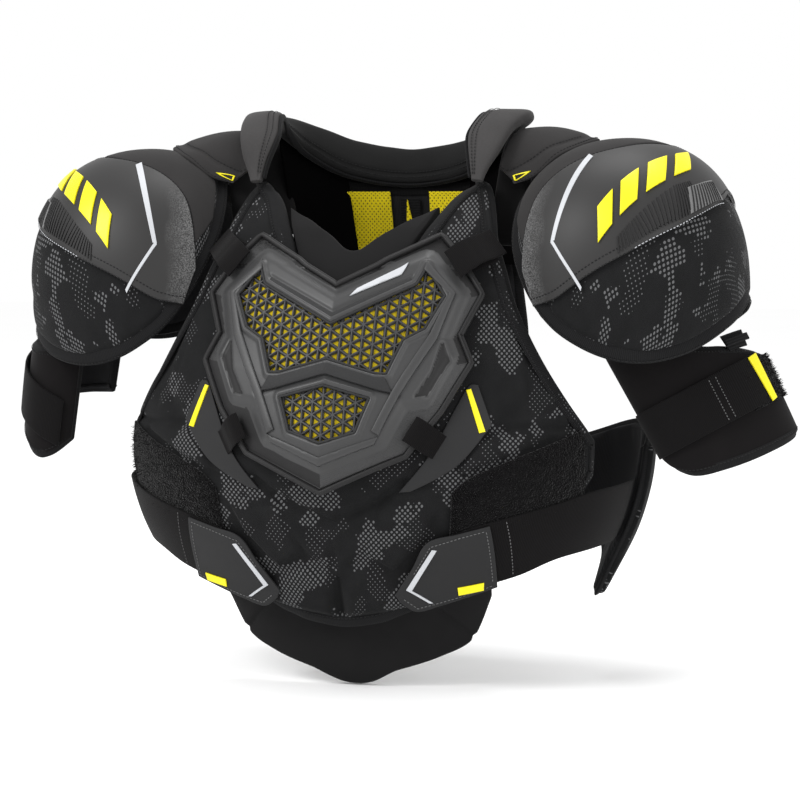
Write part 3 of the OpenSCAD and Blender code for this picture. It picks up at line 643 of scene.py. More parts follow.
class Nodes:
    """A material's node tree, with short calls for the nodes that the materials share."""

    def __init__(self, name, roughness, sheen=0.0, specular=0.5):
        self.mat = bpy.data.materials.new(name)
        self.mat.use_nodes = True
        self.tree = self.mat.node_tree
        self.shader = self.tree.nodes["Principled BSDF"]
        self.shader.inputs["Roughness"].default_value = roughness
        self.shader.inputs["Sheen Weight"].default_value = sheen
        self.shader.inputs["Sheen Roughness"].default_value = 0.4
        self.shader.inputs["Specular IOR Level"].default_value = specular

    def node(self, kind, **inputs):
        n = self.tree.nodes.new("ShaderNode" + kind)
        for key, value in inputs.items():
            if key in ("operation", "uv_map"):
                setattr(n, key, value)
            else:
                self.put(n, key, value)
        return n

    def put(self, node, key, value):
        socket = node.inputs[int(key[1:]) if key[0] == "_" and key[1:].isdigit() else key.replace("_", " ")]
        if hasattr(value, "is_output"):
            self.tree.links.new(value, socket)
        else:
            socket.default_value = value

    def math(self, operation, a, b=0.0, clamp=False):
        n = self.node("Math", operation=operation, _0=a, _1=b)
        n.use_clamp = clamp
        return n.outputs[0]

    def uv(self):
        return self.node("UVMap", uv_map="cloth").outputs["UV"]

    def place(self):
        return self.node("TexCoord").outputs["Object"]

    def mapped(self, vector, scale, turn=0.0):
        n = self.node("Mapping", Vector=vector)
        n.inputs["Scale"].default_value = (scale,) * 3
        n.inputs["Rotation"].default_value = (0, 0, turn)
        return n.outputs["Vector"]

    def noise(self, vector, scale, detail=2.0, rough=0.5):
        n = self.node("TexNoise", Vector=vector, Scale=scale, Detail=detail, Roughness=rough)
        return n.outputs["Fac"]

    def voronoi(self, vector, scale, randomness=1.0, flat=False):
        n = self.node("TexVoronoi", Vector=vector, Scale=scale, Randomness=randomness)
        n.voronoi_dimensions = "2D" if flat else "3D"
        return n

    def wave(self, vector, direction):
        """Sine bands that repeat every WAVE_PERIOD of the vector."""
        n = self.node("TexWave", Vector=vector, Scale=1.0)
        n.bands_direction = direction
        return n.outputs["Fac"]

    def mix(self, fac, a, b):
        n = self.node("MixRGB")
        self.put(n, "Fac", fac)
        for key, value in (("Color1", a), ("Color2", b)):
            self.put(n, key, value if hasattr(value, "is_output") else (*value, 1))
        return n.outputs["Color"]

    def scale_to(self, value, lo, hi, to_lo, to_hi):
        n = self.node("MapRange", Value=value)
        for key, v in (("From Min", lo), ("From Max", hi), ("To Min", to_lo), ("To Max", to_hi)):
            n.inputs[key].default_value = v
        return n.outputs["Result"]

    def finish(self, color=None, roughness=None, height=None, strength=0.4, distance=0.0006):
        if color is not None:
            self.put(self.shader, "Base Color", color)
        if roughness is not None:
            self.put(self.shader, "Roughness", roughness)
        if height is not None:
            bump = self.node("Bump", Height=height, Strength=strength, Distance=distance)
            self.put(self.shader, "Normal", bump.outputs["Normal"])
        return self.mat


def shade(color, k):
    return tuple(c * k for c in color)


def weave_height(n, uv, pitch):
    """Plain weave: two crossed waves, pitch in metres."""
    crossed = n.mapped(uv, WAVE_PERIOD / pitch, 0.785)
    return n.math("MULTIPLY", n.wave(crossed, "X"), n.wave(crossed, "Y"))


def textile(name, seed=0.0):
    """Black woven textile with camouflage made of small grey dots."""
    n = Nodes(name, 0.85, sheen=0.03, specular=0.1)
    uv = n.uv()
    dark, light = (0.0070, 0.0071, 0.0074), (0.092, 0.093, 0.095)
    tone = n.noise(uv, 55, 3)
    base = n.mix(tone, shade(dark, 0.7), shade(dark, 1.4))
    weave = weave_height(n, uv, 0.0011)
    pitch = 0.0031
    cell = n.voronoi(n.mapped(uv, 1 / pitch, DIAGONAL), 1.0, 0.0, flat=True)
    spot = n.mapped(cell.outputs["Position"], pitch, -DIAGONAL)
    shift = n.node("VectorMath", operation="ADD", _0=spot)
    shift.inputs[1].default_value = (seed, seed * 0.7, 0)
    blot = n.noise(shift.outputs[0], 26, 2.0, 0.55)
    jag = n.noise(shift.outputs[0], 110, 1.0)
    mask = n.math("ADD", blot, n.math("MULTIPLY", n.math("SUBTRACT", jag, 0.5), 0.14))
    big = n.scale_to(mask, 0.535, 0.545, 0, 0.34)
    small = n.scale_to(n.noise(shift.outputs[0], 37, 1.0), 0.56, 0.57, 0, 0.19)
    size = n.math("MAXIMUM", big, small)
    dot = n.math("MULTIPLY", n.math("SUBTRACT", size, cell.outputs["Distance"]), 14.0, clamp=True)
    return n.finish(n.mix(dot, base, light), None, weave, 0.35, 0.00035)


def cloth(name, color, rough=0.9, grain=900, sheen=0.04, strength=0.3, depth=0.0004, ribs=None,
          specular=0.08):
    """Plain fabric: fine grain, faint mottling, optional ribs (pitch in metres, direction) with painted shade
    in the grooves between them.
    """
    n = Nodes(name, rough, sheen=sheen, specular=specular)
    uv = n.uv()
    grainy = n.noise(uv, grain, 2, 0.7)
    mottle = n.noise(n.place(), 28, 3)
    tone = n.math("MULTIPLY", n.math("ADD", grainy, mottle), 0.5)
    base = n.mix(tone, shade(color, 0.62), shade(color, 1.5))
    height = grainy
    if ribs:
        pitch, direction = ribs
        wave = n.wave(n.mapped(uv, WAVE_PERIOD / pitch), direction)
        height = n.math("ADD", n.math("MULTIPLY", wave, 0.8), n.math("MULTIPLY", grainy, 0.35))
        # painted shade: the colour is darkened in the rib grooves, where the bump is lowest
        base = n.mix(wave, shade(color, 0.55), base)
    return n.finish(base, None, height, strength, depth)


def collar_cloth():
    """Foam-backed collar fabric: grey on both front flaps, nearly black round the back."""
    n = Nodes("collar_fabric", 0.92, sheen=0.05, specular=0.08)
    uv = n.uv()
    grainy = n.noise(uv, 1100, 2, 0.7)
    along_collar = n.node("SeparateXYZ", Vector=uv).outputs["X"]
    inward = n.math("SUBTRACT", 0.255, n.math("ABSOLUTE", n.math("SUBTRACT", along_collar, 0.255)))
    back = n.scale_to(n.math("ADD", inward, n.math("MULTIPLY", grainy, 0.004)), 0.112, 0.122, 0, 1)
    tone = n.math("ADD", n.math("MULTIPLY", grainy, 0.5), n.math("MULTIPLY", n.noise(n.place(), 28, 3), 0.5))
    grey = n.mix(tone, (0.024, 0.023, 0.023), (0.056, 0.054, 0.054))
    black = n.mix(tone, (0.007, 0.007, 0.007), (0.014, 0.014, 0.014))
    return n.finish(n.mix(back, grey, black), None, grainy, 0.3, 0.0004)


def coated(name, color, rough=0.5, specular=0.3):
    """Matt coated synthetic leather, faintly pebbled."""
    n = Nodes(name, rough, specular=specular)
    place = n.place()
    cell = n.voronoi(place, 520).outputs["Distance"]
    height = n.math("ADD", n.math("MULTIPLY", cell, 0.6), n.math("MULTIPLY", n.noise(place, 1400, 2), 0.3))
    wear = n.noise(place, 35, 3)
    base = n.mix(wear, shade(color, 0.85), shade(color, 1.15))
    return n.finish(base, n.scale_to(wear, 0.3, 0.7, rough - 0.06, rough + 0.08), height, 0.15, 0.0004)


def overlay_coating(name, color, grain_color):
    """Smooth coating that turns into a coarse light grain towards the neck side of the cap."""
    n = Nodes(name, 0.5, specular=0.3)
    uv, place = n.uv(), n.place()
    across = n.node("SeparateXYZ", Vector=uv).outputs["X"]
    speck = n.noise(place, 900, 3, 0.8)
    edge = n.math("ADD", across, n.math("MULTIPLY", n.noise(uv, 60, 2), 0.02))
    fade = n.scale_to(edge, -0.088, -0.050, 1, 0)
    grain = n.math("MULTIPLY", n.scale_to(speck, 0.42, 0.62, 0, 1), fade)
    wear = n.noise(place, 30, 3)
    base = n.mix(wear, shade(color, 0.88), shade(color, 1.12))
    height = n.math("ADD", n.math("MULTIPLY", grain, 1.2), n.math("MULTIPLY", n.noise(place, 1500, 2), 0.25))
    return n.finish(n.mix(grain, base, grain_color), n.scale_to(fade, 0, 1, 0.5, 0.7), height, 0.3, 0.0004)


def plastic(name, color, rough=0.42, strength=0.1, grain=2200, specular=0.35):
    n = Nodes(name, rough, specular=specular)
    place = n.place()
    fine = n.noise(place, grain, 2)
    broad = n.noise(place, 22, 3)
    base = n.mix(broad, shade(color, 0.88), shade(color, 1.12))
    return n.finish(base, n.scale_to(fine, 0.3, 0.7, rough - 0.05, rough + 0.07), fine, strength, 0.0003)


def mesh_fabric(name, color, hole):
    """Open warp-knit mesh: rows of small dark holes."""
    n = Nodes(name, 0.75, specular=0.25, sheen=0.1)
    uv = n.uv()
    cell = n.voronoi(n.mapped(uv, 1 / 0.0032, DIAGONAL), 1.0, 0.0, flat=True)
    gap = n.math("MULTIPLY", n.math("SUBTRACT", 0.24, cell.outputs["Distance"]), 12.0, clamp=True)
    tone = n.noise(n.place(), 60, 3)
    base = n.mix(gap, n.mix(tone, shade(color, 0.72), shade(color, 1.12)), hole)
    return n.finish(base, None, cell.outputs["Distance"], 0.5, 0.0008)


def pile(name):
    """Dark loop pile."""
    n = Nodes(name, 0.95, sheen=0.08, specular=0.05)
    place = n.place()
    curls = n.voronoi(place, 620).outputs["Distance"]
    tone = n.noise(place, 240, 4, 0.7)
    base = n.mix(tone, (0.0012, 0.0012, 0.0013), (0.0085, 0.0082, 0.0085))
    return n.finish(base, None, n.math("ADD", curls, tone), 0.9, 0.0016)


M = {
    "cover": textile("cover_textile"),
    "cap_cover": textile("cap_textile", seed=0.37),
    "wing": textile("wing_textile", seed=0.81),
    "lining": cloth("lining_knit", (0.016, 0.016, 0.017), ribs=(0.0016, "X")),
    "binding": cloth("binding_tape", (0.0105, 0.0105, 0.0110), grain=1500, ribs=(0.0014, "X")),
    "bib": cloth("bib_fabric", (0.0090, 0.0088, 0.0090), grain=1300, strength=0.2),
    "yoke": cloth("yoke_fabric", (0.0225, 0.0215, 0.0215), grain=1300, strength=0.25),
    "collar": collar_cloth(),
    # painted shade: the neck lining's near-black colour stands in for the shade inside the neck opening
    "painted_shade_knit": cloth("painted_shade_knit", (0.0016, 0.0015, 0.0016), grain=1100, sheen=0.0, specular=0.02),
    "neoprene": cloth("neoprene", (0.0052, 0.0046, 0.0048), grain=1700, strength=0.22),
    "elastic": cloth("elastic", (0.0056, 0.0051, 0.0053), grain=1300, strength=0.4, ribs=(0.0015, "X")),
    "webbing": cloth("webbing", (0.010, 0.010, 0.0105), grain=1300, strength=0.6, ribs=(0.0022, "Y")),
    "overlay": overlay_coating("soft_overlay", (0.0150, 0.0145, 0.0145), (0.20, 0.20, 0.20)),
    "flank": coated("flank_coating", (0.013, 0.013, 0.0135), rough=0.6, specular=0.2),
    "grey_foil": plastic("grey_foil", (0.12, 0.12, 0.12), 0.35, 0.2, 400),
    "plastic": plastic("moulded_plastic", (0.028, 0.028, 0.0285), 0.42),
    # dark plastic; on the plate's slot this colour is painted shade in the recess
    "dark_plastic_and_slot_shade": plastic("dark_plastic_and_slot_shade", (0.0125, 0.0122, 0.0125), 0.5, specular=0.2),
    "textured": plastic("textured_plastic", (0.017, 0.017, 0.0175), 0.6, 0.9, 1100, 0.2),
    "lattice": plastic("lattice_plastic", (0.028, 0.028, 0.029), 0.5, 0.3),
    "silver": plastic("silver_print", (0.42, 0.43, 0.45), 0.35),
    "yellow": plastic("yellow_print", (0.73, 0.64, 0.003), 0.4),
    "yellow_foam": cloth("yellow_foam", (0.40, 0.30, 0.010), rough=0.8, grain=700, sheen=0.0),
    "yellow_mesh": mesh_fabric("yellow_mesh", (0.78, 0.62, 0.004), (0.03, 0.026, 0.006)),
    "loop": pile("loop_pile"),
    "thread": cloth("thread", (0.013, 0.013, 0.0135), grain=2500),
    "grey_thread": cloth("grey_thread", (0.10, 0.10, 0.10), grain=2500),
}


# ---------------------------------------------------------------- front pad
FRONT_TOP = [(0, -140), (18, -130), (35, -105), (50, -71), (60, -48), (75, -21), (87, -9), (97, -5),
             (107, -27), (114, -52), (123, -74), (134, -103), (149, -132), (165, -160), (180, -185),
             (193, -207), (197, -215)]
FRONT_BOTTOM = [(0, -364), (18, -362), (32, -359), (42, -355), (54, -350), (65, -343), (76, -338), (88, -333),
                (100, -327), (112, -321), (122, -318), (138, -308), (150, -296), (163, -282), (178, -268),
                (190, -252), (196, -240)]
FRONT_T = 20

GROOVES = [  # line across and up, half width, depth
    ([(0, -277), (42, -257), (62, -242)], 3.6, 4.2),
    ([(0, -324), (0, -353)], 2.4, 4.0),
    ([(184, -200), (127, -200), (99, -233)], 3.0, 3.0),
    ([(170, -209), (134, -227), (105, -239), (70, -245)], 2.6, 2.2),
    ([(146, -128), (156, -174), (135, -199)], 9.0, 4.0),
]
PLATEAUS = [  # outline, bevel, height
    ([(44, -254), (88, -262), (76, -286), (48, -317), (23, -302)], 6.0, 4.6),
    ([(2, -328), (24, -309), (62, -329), (60, -346), (34, -353), (2, -358)], 8.0, 5.0),
    ([(0, -297), (43, -264), (34, -292), (21, -306), (0, -318)], 7.0, 3.2),
    ([(112, -205), (150, -204), (182, -205), (150, -219), (118, -232), (100, -238)], 6.0, 2.4),
    ([(128, -110), (145, -135), (165, -170), (160, -192), (148, -192), (138, -150)], 7.0, 2.0),
]


def front_height(co):
    """Moulded relief of the front pad, over points in millimetres."""
    p = np.stack([np.abs(co[:, 0]), co[:, 2]], 1)
    h = np.zeros(len(p))
    for shape, bevel, height in PLATEAUS:
        h += height * smooth(inside(p, shape), 0, bevel)
    for line, w, depth in GROOVES:
        h -= depth * np.exp(-(distance_to(p, line) / w) ** 2)
    return np.where(co[:, 1] < 0, h, 0)


def build_front():
    a, b = front_az(both(FRONT_TOP)), front_az(both(FRONT_BOTTOM))
    pad = panel("front_shell", chest, a, b, 5.0, -FRONT_T, 0, M["cover"], radius=7, uv=chest_uv,
                inner=M["lining"])
    border = edge_path(a, b, 160, 20)
    line = chest(border)[:, [0, 2]]

    def fixed(co):
        near_edge = distance_to(co[:, [0, 2]], np.vstack([line, line[:1]])) < 5
        return near_edge | (outer_weight(pad) < 0.5)

    inflate(hold(pad, fixed), 2.0, 4.0)
    displace(finer(pad), front_height)
    on_body(pad, "torso", ("front_cover", "front_foam", "front_liner"))
    bound_edge("torso", "front_edge", "front_edge_stitches", "front_binding",
               chest, border, -FRONT_T, 0, lap=9, squeeze=4)


def build_bib():
    top = both([(0, -58), (20, -46), (40, -33), (54, -27), (64, -22)])
    bottom = both([(0, -129), (16, -120), (31, -97), (45, -65), (58, -36)])
    pad = panel("throat_panel", chest, front_az(top), front_az(bottom), 4, -15, -6, M["bib"], 2.5, 2.0,
                chest_uv)
    on_body(finer(pad), "torso", "chest_bib")


def sides(points, turn):
    return points if turn > 0 else other_side(points)


FIBRE = 2.6


def fluff(name, surface, a, b, off, material, count, seed):
    """Short curled fibres standing on a patch."""
    rng, reach = np.random.default_rng(seed), FIBRE
    u, v = rng.random(count), rng.random(count)
    pa, pb = through(a, u), through(b, u)
    p = pa + (pb - pa) * v[:, None]
    root = surface(p, off)
    up = unit(surface(p, off + 1.0) - root)
    lean = unit(rng.normal(size=(count, 3)))
    tip = root + (up + lean * 0.75) * reach * (0.5 + rng.random((count, 1)) * 0.6)
    mid = (root + tip) / 2 + up * reach * 0.25
    side = unit(np.cross(up, lean)) * 0.22
    verts = np.stack([root - side, root + side, mid - side, mid + side, tip], 1).reshape(-1, 3)
    base = np.arange(count)[:, None] * 5
    faces = [*(base + [0, 1, 3, 2]), *(base + [2, 3, 4])]
    return make(name, verts, faces, material, verts[:, [0, 2]])


LOOP_TOP = [(97, -250), (113, -237), (150, -221), (187, -204)]
LOOP_BOTTOM = [(92, -290), (120, -284), (156, -273), (187, -257)]
SIDES = (("left", 1), ("right", -1))
CAPS = (("left", 1, 3), ("right", -1, -2))  # side, direction, resting lift in degrees


def rough_relief(size, height, seed):
    def relief(p, d):
        return height * noise(p, size, seed) * smooth(d, 0, 2)
    return relief


def build_loops():
    for side, turn in SIDES:
        a, b = front_az(sides(LOOP_TOP, turn)), front_az(sides(LOOP_BOTTOM, turn))
        pad = panel(f"loop_field_{side}", chest, a, b, 2.2, 0.5, 3.2, M["loop"], 1.2, 0.8, chest_uv,
                    relief=rough_relief(2.4, 0.5, 5))
        on_body(pad, "torso", f"loop_patch_{side}")
        pile = fluff(f"loop_field_pile_{side}", chest, a, b, 3.0, M["loop"], 2600, 11)
        on_body(pile, "torso")


FLANK_TOP = [(57, -250), (80, -222), (98, -186), (107, -168), (114, -167)]
FLANK_BOTTOM = [(66, -249), (88, -238), (105, -226), (122, -204), (126, -198)]
FLANK_BAR = [(105.5, -171), (117, -204)], [(109, -170), (121.5, -203)]


def join(name, parts):
    """Joins meshes that share one finish into one piece."""
    for o in bpy.context.selected_objects:
        o.select_set(False)
    for o in parts:
        o.select_set(True)
    bpy.context.view_layer.objects.active = parts[0]
    bpy.ops.object.join()
    parts[0].name = parts[0].data.name = name
    return parts[0]


def build_flanks():
    panels, bars = [], []
    for _, turn in SIDES:
        a, b = front_az(sides(FLANK_TOP, turn)), front_az(sides(FLANK_BOTTOM, turn))
        panels.append(panel("part", chest, a, b, 3, 0.2, 2.2, M["flank"], 0.9, 0.3, chest_uv))
        a, b = (front_az(sides(edge, turn)) for edge in FLANK_BAR)
        bars.append(strip(chest, a, b, 2, 1.8, 3.4, M["yellow"], 0.6, uv=chest_uv))
    on_body(join("flank_panel_pair", panels), "torso", "flank_panels")
    on_body(join("flank_bar_pair", bars), "torso", "flank_bars")


build_front()
build_bib()
build_loops()
build_flanks()

# ---------------------------------------------------------------- collar and shoulders
COLLAR = [(94, -64, -6), (96, -57, 13), (99, -42, 33), (105, -14, 47), (107, 20, 45), (86, 54, 33),
          (50, 75, 16), (0, 83, 9)]
COLLAR_ACROSS = [(1, 0.2, 0), (1, 0.2, 0.1), (1, 0.1, 0.1), (1, 0.1, -0.1), (0.85, 0.25, 0.3),
                 (0.35, 0.35, 0.85), (0.1, 0.35, 0.9), (0, 0.35, 0.9)]
COLLAR_W, COLLAR_T = 33, 14
COLLAR_SEAM = 122


def out_and_back(half):
    return list(half) + [(-x, y, z) for x, y, z in half[-2::-1]]


def collar(p, off=0.0):
    """Collar: p is (along from the left tip to the right one, degrees round its section)."""
    u, q = p[:, 0], np.radians(p[:, 1])
    path = out_and_back(COLLAR)
    c = through(path, u)
    t = unit(through(path, np.minimum(u + 0.004, 1)) - through(path, np.maximum(u - 0.004, 0)))
    w = through(out_and_back(COLLAR_ACROSS), u)
    w = unit(w - t * (w * t).sum(1, keepdims=True))
    k, grow = (0.3 + 0.7 * smooth(np.minimum(u, 1 - u), -0.01, 0.15))[:, None], np.reshape(off, (-1, 1))
    side = (np.sign(np.cos(q)) * np.abs(np.cos(q)) ** 0.75)[:, None]
    face = (np.sign(np.sin(q)) * np.abs(np.sin(q)) ** 0.75)[:, None]
    return c + w * side * (COLLAR_W / 2 * k + grow) + np.cross(w, t) * face * (COLLAR_T / 2 * k ** 0.5 + grow)


def build_collar():
    u, q = np.linspace(0, 1, 181), np.arange(0, 360, 9.0)
    p = np.stack([np.repeat(u, len(q)), np.tile(q, len(u))], 1)
    from_tip = np.minimum(p[:, 0], 1 - p[:, 0])
    seam = -1.6 * np.exp(-((p[:, 1] - COLLAR_SEAM) / 7) ** 2) * smooth(from_tip, 0.0, 0.03)
    points = collar(p, seam + 0.9 * noise(collar(p, seam), 21.0, 3))
    pad = tube("collar", points.reshape(len(u), len(q), 3), M["collar"])
    inflate(pad, 2.0, 1.5)
    on_body(finer(pad), "torso", "collar_pad")
    edge = strip(collar, [(0.012, 166), (0.988, 166)], [(0.012, 196), (0.988, 196)], 3.0, 0.3, 2.0,
                 M["binding"], 0.8, 0.3, name="collar_edge")
    on_body(edge, "torso")
    lines = [seam_line(collar, [(0.02, COLLAR_SEAM + d), (0.98, COLLAR_SEAM + d)], 0.25, 600, along)
             for d in (-10, 9)]
    on_body(stitches("collar_stitches", lines, M["thread"], closed=False), "torso")


def build_neck_lining():
    """Lining between the collar and the inner face of the back pad, deeper on both sides of the mesh; its
    near-black colour is painted shade inside the neck opening.
    """
    def surface(p, off=0.0):
        top = collar(np.stack([p[:, 0], np.full(len(p), 262.0)], 1), -1.0)
        low = np.stack([top[:, 0] * 0.97, np.maximum(top[:, 1], 72), np.full(len(p), -76.0)], 1)
        return top + (low - top) * p[:, 1:] + unit(top * [1, 1, 0]) * np.reshape(off, (-1, 1))

    parts = [strip(surface, [(0.415, 0), (0.585, 0)], [(0.415, 0.17), (0.585, 0.17)], 4, -1.6, 0.8,
                   M["painted_shade_knit"], 0.9)]
    for top, low in (((0.30, 0.42), (0.30, 0.437)), ((0.58, 0.70), (0.563, 0.70))):
        parts.append(strip(surface, [(u, 0) for u in top], [(u, 1) for u in low], 4, -2.6, 0,
                           M["painted_shade_knit"], 1.2))
    on_body(finer(join("neck_lining", parts)), "torso")


ARCH = [(-37, -58), (-35, -34), (-30, -8), (-18, 18), (8, 34), (34, 33), (51, 16), (57, -12), (57, -50)]
ARCH_IN, ARCH_OUT, ARCH_T = 104, 132, 9


def arch(p, off=0.0):
    """Shoulder arch: p is (across from 0 at the neck to 1, along from front to back)."""
    v = np.clip(p[:, 1], 0, 1)
    c = through(ARCH, v)
    t = through(ARCH, np.minimum(v + 0.01, 1)) - through(ARCH, np.maximum(v - 0.01, 0))
    n = unit(np.stack([-t[:, 1], t[:, 0]], 1)) * np.reshape(off, (-1, 1))
    x = ARCH_IN + (ARCH_OUT - ARCH_IN) * p[:, 0] - 10 * (2 * v - 1) ** 2
    return np.stack([x, c[:, 0] + n[:, 0], c[:, 1] + n[:, 1] - 0.0045 * (x - ARCH_IN) ** 2], 1)


YOKE_IN = [(108, -44, 6), (112, -30, 26), (115, -8, 37), (115, 12, 39), (112, 34, 35), (103, 56, 20)]
YOKE_OUT = [(122, -46, -8), (140, -51, -1), (157, -50, 14), (171, -38, 22), (185, -12, 29), (177, 14, 25),
            (158, 40, 7)]
YOKE_FOLD = [(0.0, 0.02), (0.45, 0.05), (0.74, 0.22), (0.84, 0.42), (0.88, 0.6), (0.88, 0.98)]
YOKE_MARK = [(0.66, 0.045), (0.88, 0.16), (0.90, 0.02)]


def yoke(lift):
    """Fabric from the collar over the inner edge of a cap.

    Its parameters are (across from the collar, from front to back), both from 0 to 1.
    """
    outer = about_y(np.array(YOKE_OUT, float), CAP_HINGE, lift - 3)

    def flat(p):
        a, b = through(YOKE_IN, p[:, 1]), through(outer, p[:, 1])
        q = a + (b - a) * p[:, :1]
        q[:, 2] += 5 * np.sin(np.pi * np.clip(p[:, 0], 0, 1)) * smooth(p[:, 1], 0, 0.35)
        return q

    def surface(p, off=0.0):
        du, dv = flat(p + [0.01, 0]) - flat(p - [0.01, 0]), flat(p + [0, 0.01]) - flat(p - [0, 0.01])
        n = unit(np.cross(dv, du))
        return flat(p) + n * np.sign(n[:, 2:]) * np.reshape(off, (-1, 1))
    return surface


def yoke_relief(p, d):
    """Fold line across the yoke, and shallow waves in its fabric."""
    fold = 1.6 * np.exp(-(distance_to(p, YOKE_FOLD) / 0.028) ** 2)
    return (0.5 * noise(p, 0.35, 17) - fold) * smooth(d, 0, 3)


def build_shoulders():
    for side, turn, lift in CAPS:
        surface = sided(arch, turn)
        pad = strip(surface, *SQUARE, 4, -ARCH_T, 0, M["bib"], 3.5, 1.0, name=f"arch_{side}")
        inflate(pad, 2.0, 2.0)
        on_body(finer(pad), "torso", f"shoulder_arch_{side}")
        surface = sided(yoke(lift), turn)
        cloak = panel(f"yoke_{side}", surface, *SQUARE, 3.0, -3.2, 0, M["yoke"], 1.5, 0.8, curve=along,
                      relief=yoke_relief)
        finer(cloak)
        if turn > 0:
            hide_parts("cap_tethers")
        lines = [seam_line(surface, [(0.955, 0.06), (0.955, 0.94)], 0.3, 90, along),
                 seam_line(surface, [(x - 0.03, y) for x, y in YOKE_FOLD[:-1]], 0.4, 90)]
        seam = stitches(f"yoke_stitches_{side}", lines, M["thread"], closed=False)
        mark = join(f"yoke_mark_{side}", outline(surface, YOKE_MARK, 0.4, 1.6, M["yellow"]))
        for piece, slot in ((cloak, "collar_fabric"), (seam, "collar_fabric"), (mark, "yellow_print")):
            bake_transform(piece)


build_collar()
build_neck_lining()
build_shoulders()

# ---------------------------------------------------------------- back
BACK_TOP = [(180, -6), (168, -4), (159, 0), (156, -12), (155.5, -45), (155, -85), (154.5, -125), (154, -165),
            (148, -200), (139, -226)]
BACK_BOTTOM = [(180, -300), (171, -300), (165, -298), (162, -296), (161, -295), (160, -294),
               (159, -292), (157, -289), (150, -282), (139, -270)]
BACK_T = 16
BACK_GROOVES = [([(46, -40), (52, -150), (40, -262)], 3.5, 3.5),
                ([(46, -110), (100, -96), (128, -100)], 3.0, 3.0),
                ([(50, -190), (104, -182), (132, -190)], 3.0, 3.0)]


def back_both(half):
    return half[:0:-1] + [(360 - a, z) for a, z in half]


def back_height(co):
    p = np.stack([np.abs(co[:, 0]), co[:, 2]], 1)
    h = sum(-depth * np.exp(-(distance_to(p, line) / w) ** 2) for line, w, depth in BACK_GROOVES)
    return np.where(co[:, 1] > 0, h, 0)


def build_back():
    a, b = back_both(BACK_TOP), back_both(BACK_BOTTOM)
    pad = panel("back_shell", chest, a, b, 5.0, -BACK_T, 0, M["cover"], radius=6, crown=3, uv=chest_uv,
                inner=M["lining"])
    displace(finer(pad), back_height)
    on_body(pad, "torso", ("back_cover", "back_foam", "back_liner"))
    border = edge_path(a, b, 120, 30)
    bound_edge("torso", "back_edge", "back_edge_stitches", "back_binding",
               chest, border, -BACK_T, 0, squeeze=3.5)


def build_spine():
    a = back_az([(-34, -52), (-18, -40), (0, -36), (18, -40), (34, -52)])
    b = back_az([(-22, -262), (-12, -270), (0, -273), (12, -270), (22, -262)])

    def ribs(p, d):
        q = chest(p)
        ridges = 1.5 * smooth(np.abs(q[:, 0]), 5, 8) * smooth(d, 2, 5)
        return ridges - 1.4 * smooth(np.cos((q[:, 2] + 52) / 24 * 2 * np.pi), 0.8, 1) * smooth(d, 5, 7)

    spine = panel("spine_guard", chest, a, b, 2.0, 1, 4, M["dark_plastic_and_slot_shade"], 1.4, 1.0, chest_uv, relief=ribs)
    on_body(spine, "torso", "spine_plate")


def build_vents():
    """Mesh windows on the lining, a sliver of mesh between them, and the web down the middle."""
    def lining(name, top, bottom, cell, height, wall, material, radius):
        """Thin panel that stands height above the inner face of the back pad."""
        return panel(name, chest, back_az(top), back_az(bottom), cell, -BACK_T - height,
                     -BACK_T - height + wall, material, radius, uv=chest_uv)

    vents = [lining("part", sides([(18, -7), (62, -7)], turn), sides([(16, -110), (46, -110)], turn),
                    4, 3, 1.7, M["yellow_mesh"], 0.6) for _, turn in SIDES]
    vents.append(lining("part", [(-2.7, -15), (-1.9, -15)], [(-4.2, -33), (1.2, -33)], 1.5, 4.1, 1.0,
                        M["yellow_mesh"], 0.4))
    on_body(join("mesh_lining", vents), "torso", "back_vents")
    web = lining("spine_web", [(-9, -14), (9, -14)], [(-9, -150), (9, -150)], 3, 3, 1.7, M["webbing"], 0.6)
    on_body(web, "torso", "back_web")


WING_TOP = [(89, -224), (96, -213), (108, -208), (122, -212), (140, -226)]
WING_BOTTOM = [(89, -300), (92, -332), (98, -346), (112, -318), (140, -280)]


WING_BACK = 14  # how much further back the right wing sits, in degrees


def build_wings():
    for side, turn in SIDES:
        shift = 0 if turn > 0 else WING_BACK
        a = sides([(x + shift, z) for x, z in WING_TOP], turn)
        b = sides([(x + shift, z) for x, z in WING_BOTTOM], turn)
        pad = panel(f"wing_pad_{side}", chest, a, b, 4, 4, 15, M["wing"], 4, 1.5, chest_uv, inner=M["lining"])
        inflate(pad, 2.0, 3.0)
        on_body(finer(pad), "torso", f"wing_{side}")
        bound_edge("torso", f"wing_edge_{side}", f"wing_stitches_{side}", (),
                   chest, edge_path(a, b, 60, 16), 5, 14, 3.0, 5.0, squeeze=3.2)
        root = strap(f"belly_root_{side}", sides([(86.5, -251), (100 + shift, -251)], turn),
                     sides([(86.5, -299), (100 + shift, -299)], turn), 3.0, 4.4, uv=chest_uv)
        fixed, free = (chest(np.array([[turn * az, -275.0]]), 3.7)[0] * MM for az in (97 + shift, 87))
        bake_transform(root)
        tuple(fixed)
        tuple(free)


def strap(name, a, b, off0, off1, surface=chest, uv=None):
    """Flat elastic."""
    return panel(name, surface, a, b, 3, off0, off1, M["elastic"], 0.8, 0.2, uv)


def build_plate_straps():
    for name, a, b in (("upper", [(73, -64), (110, -50)], [(86, -88), (120, -71)]),
                       ("lower", [(70, -201), (80, -190)], [(77, -217), (90, -206)])):
        parts = [strap("part", front_az(sides(a, t)), front_az(sides(b, t)), 2.3, 4.1) for _, t in SIDES]
        on_body(join(f"corner_straps_{name}", parts), "torso", f"plate_straps_{name}")


build_back()
build_spine()
build_vents()
build_wings()
build_plate_straps()

